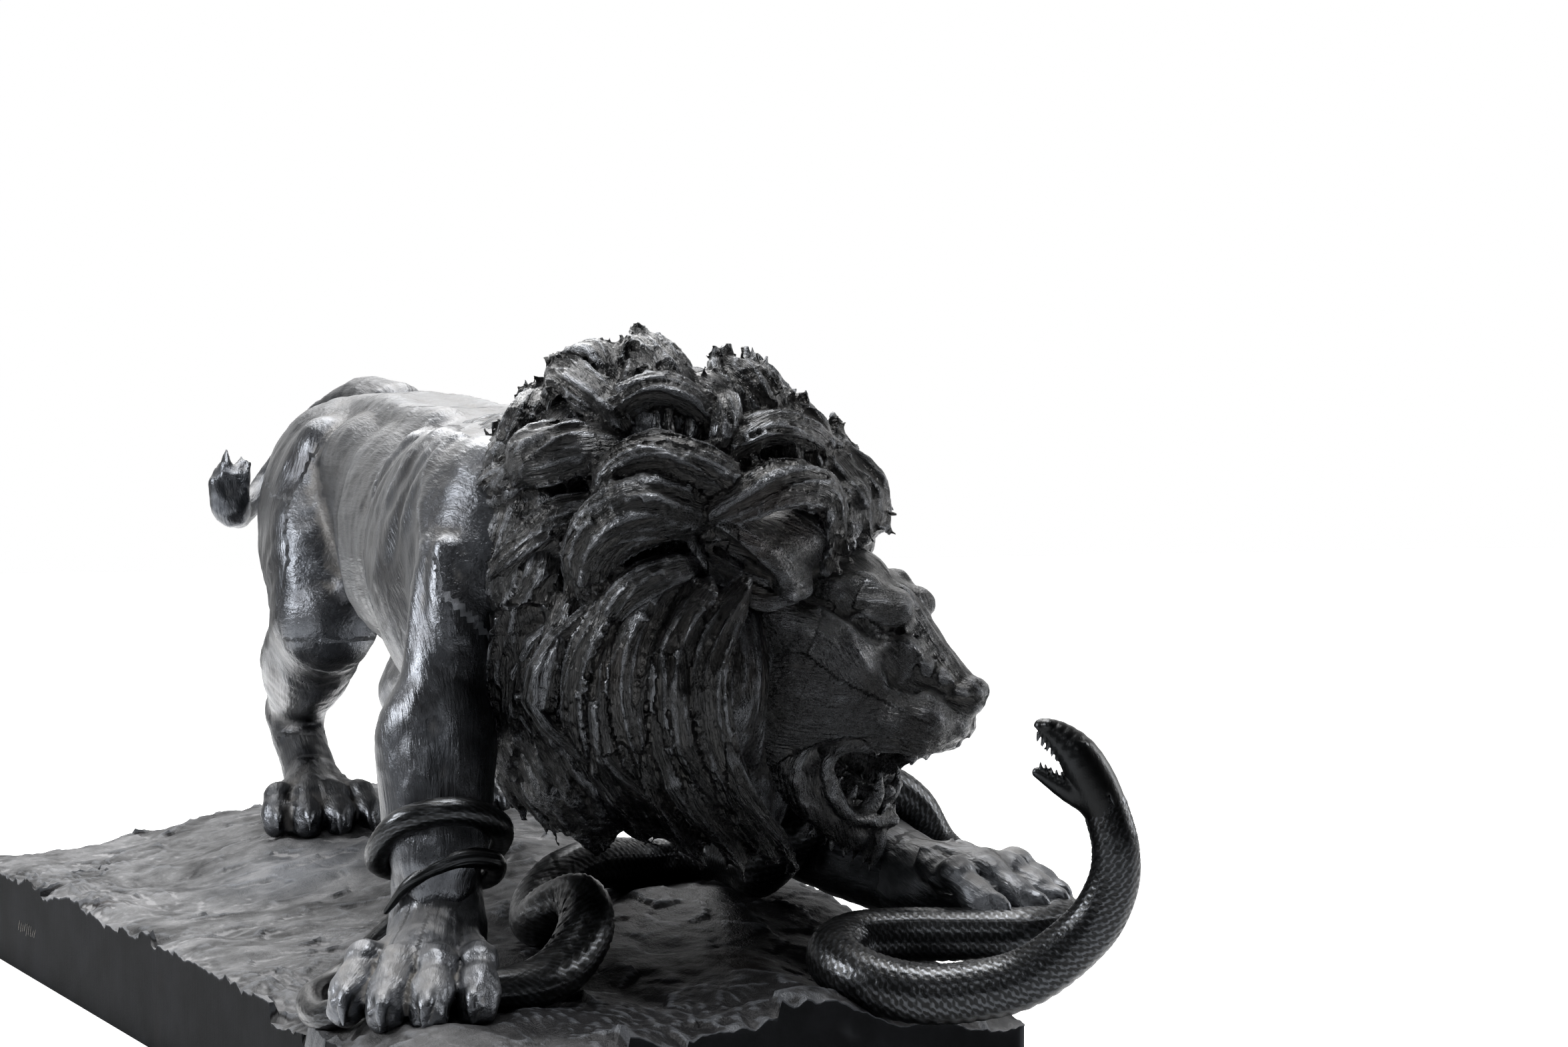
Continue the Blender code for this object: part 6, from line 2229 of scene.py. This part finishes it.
class Lion:
    """The lion, in pieces that meet in the creases of the mane."""

    GROUND_OVERLAP = 0.0025
    # The grid's step for each piece: finer where the photograph shows more
    STEPS = {"body": 0.0040, "tail": 0.0028, "paws": 0.0018, "head": 0.0017}
    MANE_STEPS = {"far": 0.0042, "chest": 0.0026, "crown": 0.0020, "ruff": 0.0018}
    # The size and depth of the dents that the modeller's thumb left
    DENTS = ((0.022, 0.0007), (0.008, 0.0004))

    def __init__(self) -> None:
        """Sets up the lion's parts."""
        self.trunk, self.forelegs, self.tail = Trunk(), Forelegs(), Tail()
        self.head, self.mane = Head(), Mane()
        near_heading, far_heading = math.radians(-14.0), math.radians(-6.0)
        self.hind = [
            HindLeg(-1, BODY.at(-0.102, -0.076, 0.196), BODY.at(-0.004, -0.073, 0.136), near_heading),
            HindLeg(1, BODY.at(-0.155, 0.030, 0.206), BODY.at(-0.070, 0.060, 0.142), far_heading),
        ]
        self.grit = Grit(seed=2)

    def finish(
        self,
        name: str,
        clay: Clay,
        guides: list,
        finish: PatinatedBronze,
        strokes: tuple,
        floor: float | None = None,
    ) -> bpy.types.Object:
        """Turns clay into a finished piece.

        Args:
            name: The piece's name.
            clay: The clay.
            guides: The lines that its hair follows.
            finish: Its material.
            strokes: The width, length (millimetres) and depth (metres) of each round of combing.
            floor: How far under the ground the clay is cut off, if it is.

        Returns:
            The piece.
        """
        clay.step *= COARSENESS
        clay.model(floor)
        skin = Skin(*clay.surface())
        skin.points = skin.points * 0.5 + skin.averaged(skin.points, 1) * 0.5
        skin.follow(guides)
        for size, depth in self.DENTS:
            skin.knead(self.grit, size, depth)
        for across, along, depth in strokes:
            skin.comb(self.grit, across, along, depth)
        return make_piece(name, skin, Casting.LION, {"hollow": skin.hollow()}, (finish,))

    def build_body(self) -> bpy.types.Object:
        """Builds the trunk, the forelegs down to the wrists and the hind legs with their feet."""
        clay = Clay(self.STEPS["body"])
        self.trunk.shape(clay)
        for leg in self.hind:
            leg.shape(clay)
        self.forelegs.shape_near(clay)
        self.forelegs.shape_far(clay)
        guides = self.trunk.guides() + [guide for leg in self.hind for guide in leg.guides()]
        guides += self.forelegs.guides()
        strokes = ((10.0, 60.0, 0.0004), (8.0, 40.0, 0.0003))
        return self.finish("lion_body", clay, guides, HIDE, strokes, self.GROUND_OVERLAP)

    def build_tail(self) -> bpy.types.Object:
        """Builds the tail, which comes out of the rump."""
        clay = Clay(self.STEPS["tail"])
        self.tail.shape(clay, np.random.default_rng(seed=4))
        return self.finish("lion_tail", clay, self.tail.guides(), HIDE, ((5.0, 40.0, 0.0005),))

    def build_paws(self) -> list[bpy.types.Object]:
        """Builds the two forefeet, which meet the legs under the snake's rings."""
        made = []
        # The stump of the leg above each wrist, from the wrist: across, up and round
        near = ((-0.011, 0.003, 0.052, 0.0265), (-0.007, 0.002, 0.030, 0.0285), (0.0, 0.0, 0.0, 0.0285))
        far = ((-0.035, -0.008, 0.008, 0.027), (0.0, 0.0, 0.0, 0.027))
        paws = (
            ("near_forepaw", self.forelegs.near_paw(), near),
            ("far_forepaw", self.forelegs.far_paw(), far),
        )
        for name, paw, stump in paws:
            clay = Clay(self.STEPS["paws"])
            clay.add(Limb([(paw.wrist + place, radius) for place, radius in pairs(stump)]), 0.01)
            paw.shape(clay)
            made.append(
                self.finish(name, clay, paw.guides(), FOOT, ((5.0, 40.0, 0.0005),), self.GROUND_OVERLAP)
            )
        return made

    def build_head(self) -> bpy.types.Object:
        """Builds the head with its ears, teeth and beard."""
        clay = Clay(self.STEPS["head"])
        self.head.shape(clay)
        self.head.beard(clay, np.random.default_rng(seed=8))
        return self.finish(
            "lion_head", clay, self.head.guides(), FACE, ((5.0, 26.0, 0.0004), (4.0, 18.0, 0.0004))
        )

    def build_mane(self) -> list[bpy.types.Object]:
        """Builds the mane's parts."""
        made = []
        for name, locks in self.mane.parts().items():
            random = np.random.default_rng(seed=17)
            clay = Clay(self.MANE_STEPS[name])
            if name == "far":
                self.mane.core(clay)
            for lock in locks:
                lock.shape(clay, random)
            guides = [lock.guide() for lock in locks]
            strokes = ((8.0, 70.0, 0.0014), (5.0, 40.0, 0.0009))
            made.append(self.finish(f"mane_{name}", clay, guides, HAIR, strokes))
        return made

    def build(self) -> None:
        """Builds all of the lion."""
        self.build_body()
        self.build_tail()
        self.build_paws()
        self.build_head()
        self.build_mane()


def build_serpent() -> None:
    """Builds the snake's body and head."""
    serpent = Serpent()
    clay = Clay(0.0008 * COARSENESS, 60)
    serpent.head(clay)
    clay.model()
    skins = (("serpent_body", serpent.body(), 1.5), ("serpent_head", Skin(*clay.surface()), 2.0))
    for name, skin, deeper in skins:
        values = {"hollow": skin.hollow(6) * deeper}
        make_piece(name, skin, Casting.SERPENT, values, (SCALES,))


@dataclass
class Studio:
    """The camera at the photograph's place, a pale floor and soft boxes."""

    camera_at: tuple[float, float, float] = (2.093, -0.809, 0.41)
    heading: float = math.atan2(0.468, -0.8837)
    pitch: float = math.radians(-1.176)
    lens: float = 70.19
    sensor: float = 36.0
    floor_reach: float = 9.0
    middle: tuple[float, float, float] = (0.15, 0.02, 0.25)
    # Each soft box: where it is, its two sides and its power
    softboxes: tuple = (
        ("left_softbox", (-0.5, -1.9, 1.3), (0.9, 0.9), 62.0),
        ("right_softbox", (0.6, 2.2, 1.0), (0.5, 1.2), 24.0),
        ("top_softbox", (-1.1, 0.3, 1.9), (1.4, 1.4), 52.0),
        ("overhead_softbox", (0.15, 0.2, 2.2), (0.9, 0.9), 55.0),
        ("front_fill", (2.6, -1.6, 1.8), (0.8, 0.8), 9.0),
    )

    def camera(self) -> None:
        """Makes the camera."""
        data = bpy.data.cameras.new("camera")
        thing = bpy.data.objects.new("camera", data)
        bpy.context.collection.objects.link(thing)
        level = math.cos(self.pitch)
        ahead = Vector((math.cos(self.heading) * level, math.sin(self.heading) * level, math.sin(self.pitch)))
        right = ahead.cross(Vector((0, 0, 1))).normalized()
        turn = Matrix((right, right.cross(ahead), -ahead)).transposed().to_4x4()
        turn.translation = Vector(self.camera_at)
        thing.matrix_world = turn
        data.sensor_width, data.lens = self.sensor, self.lens
        data.clip_start, data.clip_end = 0.05, 60.0
        bpy.context.scene.camera = thing

    def softbox(self, name: str, at: tuple, size: tuple, power: float) -> None:
        """Makes a soft box that faces the group."""
        data = bpy.data.lights.new(name, "AREA")
        data.shape, data.size, data.size_y = "RECTANGLE", *size
        data.energy = power
        thing = bpy.data.objects.new(name, data)
        bpy.context.collection.objects.link(thing)
        thing.location = Vector(at)
        thing.rotation_euler = (Vector(self.middle) - Vector(at)).to_track_quat("-Z", "Y").to_euler()

    def floor(self) -> None:
        """Makes the pale floor."""
        reach = self.floor_reach
        mesh = bpy.data.meshes.new("studio_floor")
        corners = [(-reach, -reach, 0), (reach, -reach, 0), (reach, reach, 0), (-reach, reach, 0)]
        mesh.from_pydata(corners, [], [(0, 1, 2, 3)])
        thing = bpy.data.objects.new("studio_floor", mesh)
        bpy.context.collection.objects.link(thing)
        thing.location.z = -0.0005
        paper = bpy.data.materials.new("white paper")
        paper.use_nodes = True
        shader = paper.node_tree.nodes["Principled BSDF"]
        shader.inputs["Base Color"].default_value = linear("#F4F4F4")
        shader.inputs["Roughness"].default_value = 0.9
        shader.inputs["Emission Color"].default_value = linear("#FFFFFF")
        seen = node(paper.node_tree, "ShaderNodeLightPath").outputs["Is Camera Ray"]
        lit = node(paper.node_tree, "ShaderNodeMapRange", {3: 0.0, 4: 1.0}, {0: seen})
        paper.node_tree.links.new(lit.outputs[0], shader.inputs["Emission Strength"])
        mesh.materials.append(paper)

    def world(self) -> None:
        """Makes the white surroundings, dimmer for what the bronze reflects than for the eye."""
        world = bpy.data.worlds.new("studio")
        bpy.context.scene.world = world
        world.use_nodes = True
        tree = world.node_tree
        background = tree.nodes["Background"]
        background.inputs["Color"].default_value = linear("#FFFFFF")
        seen = node(tree, "ShaderNodeLightPath").outputs["Is Camera Ray"]
        way = node(tree, "ShaderNodeTexCoord").outputs["Generated"]
        behind = node(
            tree, "ShaderNodeVectorMath", {"operation": "DOT_PRODUCT", 1: (-0.88, 0.47, 0.10)}, {0: way}
        )
        glow = node(
            tree, "ShaderNodeMapRange", {1: 0.35, 2: 0.95, 3: 0.06, 4: 0.95}, {0: behind.outputs["Value"]}
        )
        level = node(tree, "ShaderNodeMix", {"data_type": "FLOAT", 3: 1.0}, {0: seen, 2: glow.outputs[0]})
        tree.links.new(level.outputs[0], background.inputs["Strength"])

    def build(self) -> None:
        """Makes the whole studio."""
        self.camera()
        self.floor()
        self.world()
        for box in self.softboxes:
            self.softbox(*box)
        bpy.context.scene.view_settings.view_transform = "Standard"


def main() -> None:
    """Builds the studio and the three castings in order."""
    logging.basicConfig(level=logging.INFO, format="%(name)s %(message)s")
    Studio().build()
    plinth = Plinth()
    plinth.build()
    plinth.marks()
    build_serpent()
    Lion().build()


if __name__ == "__main__":
    main()
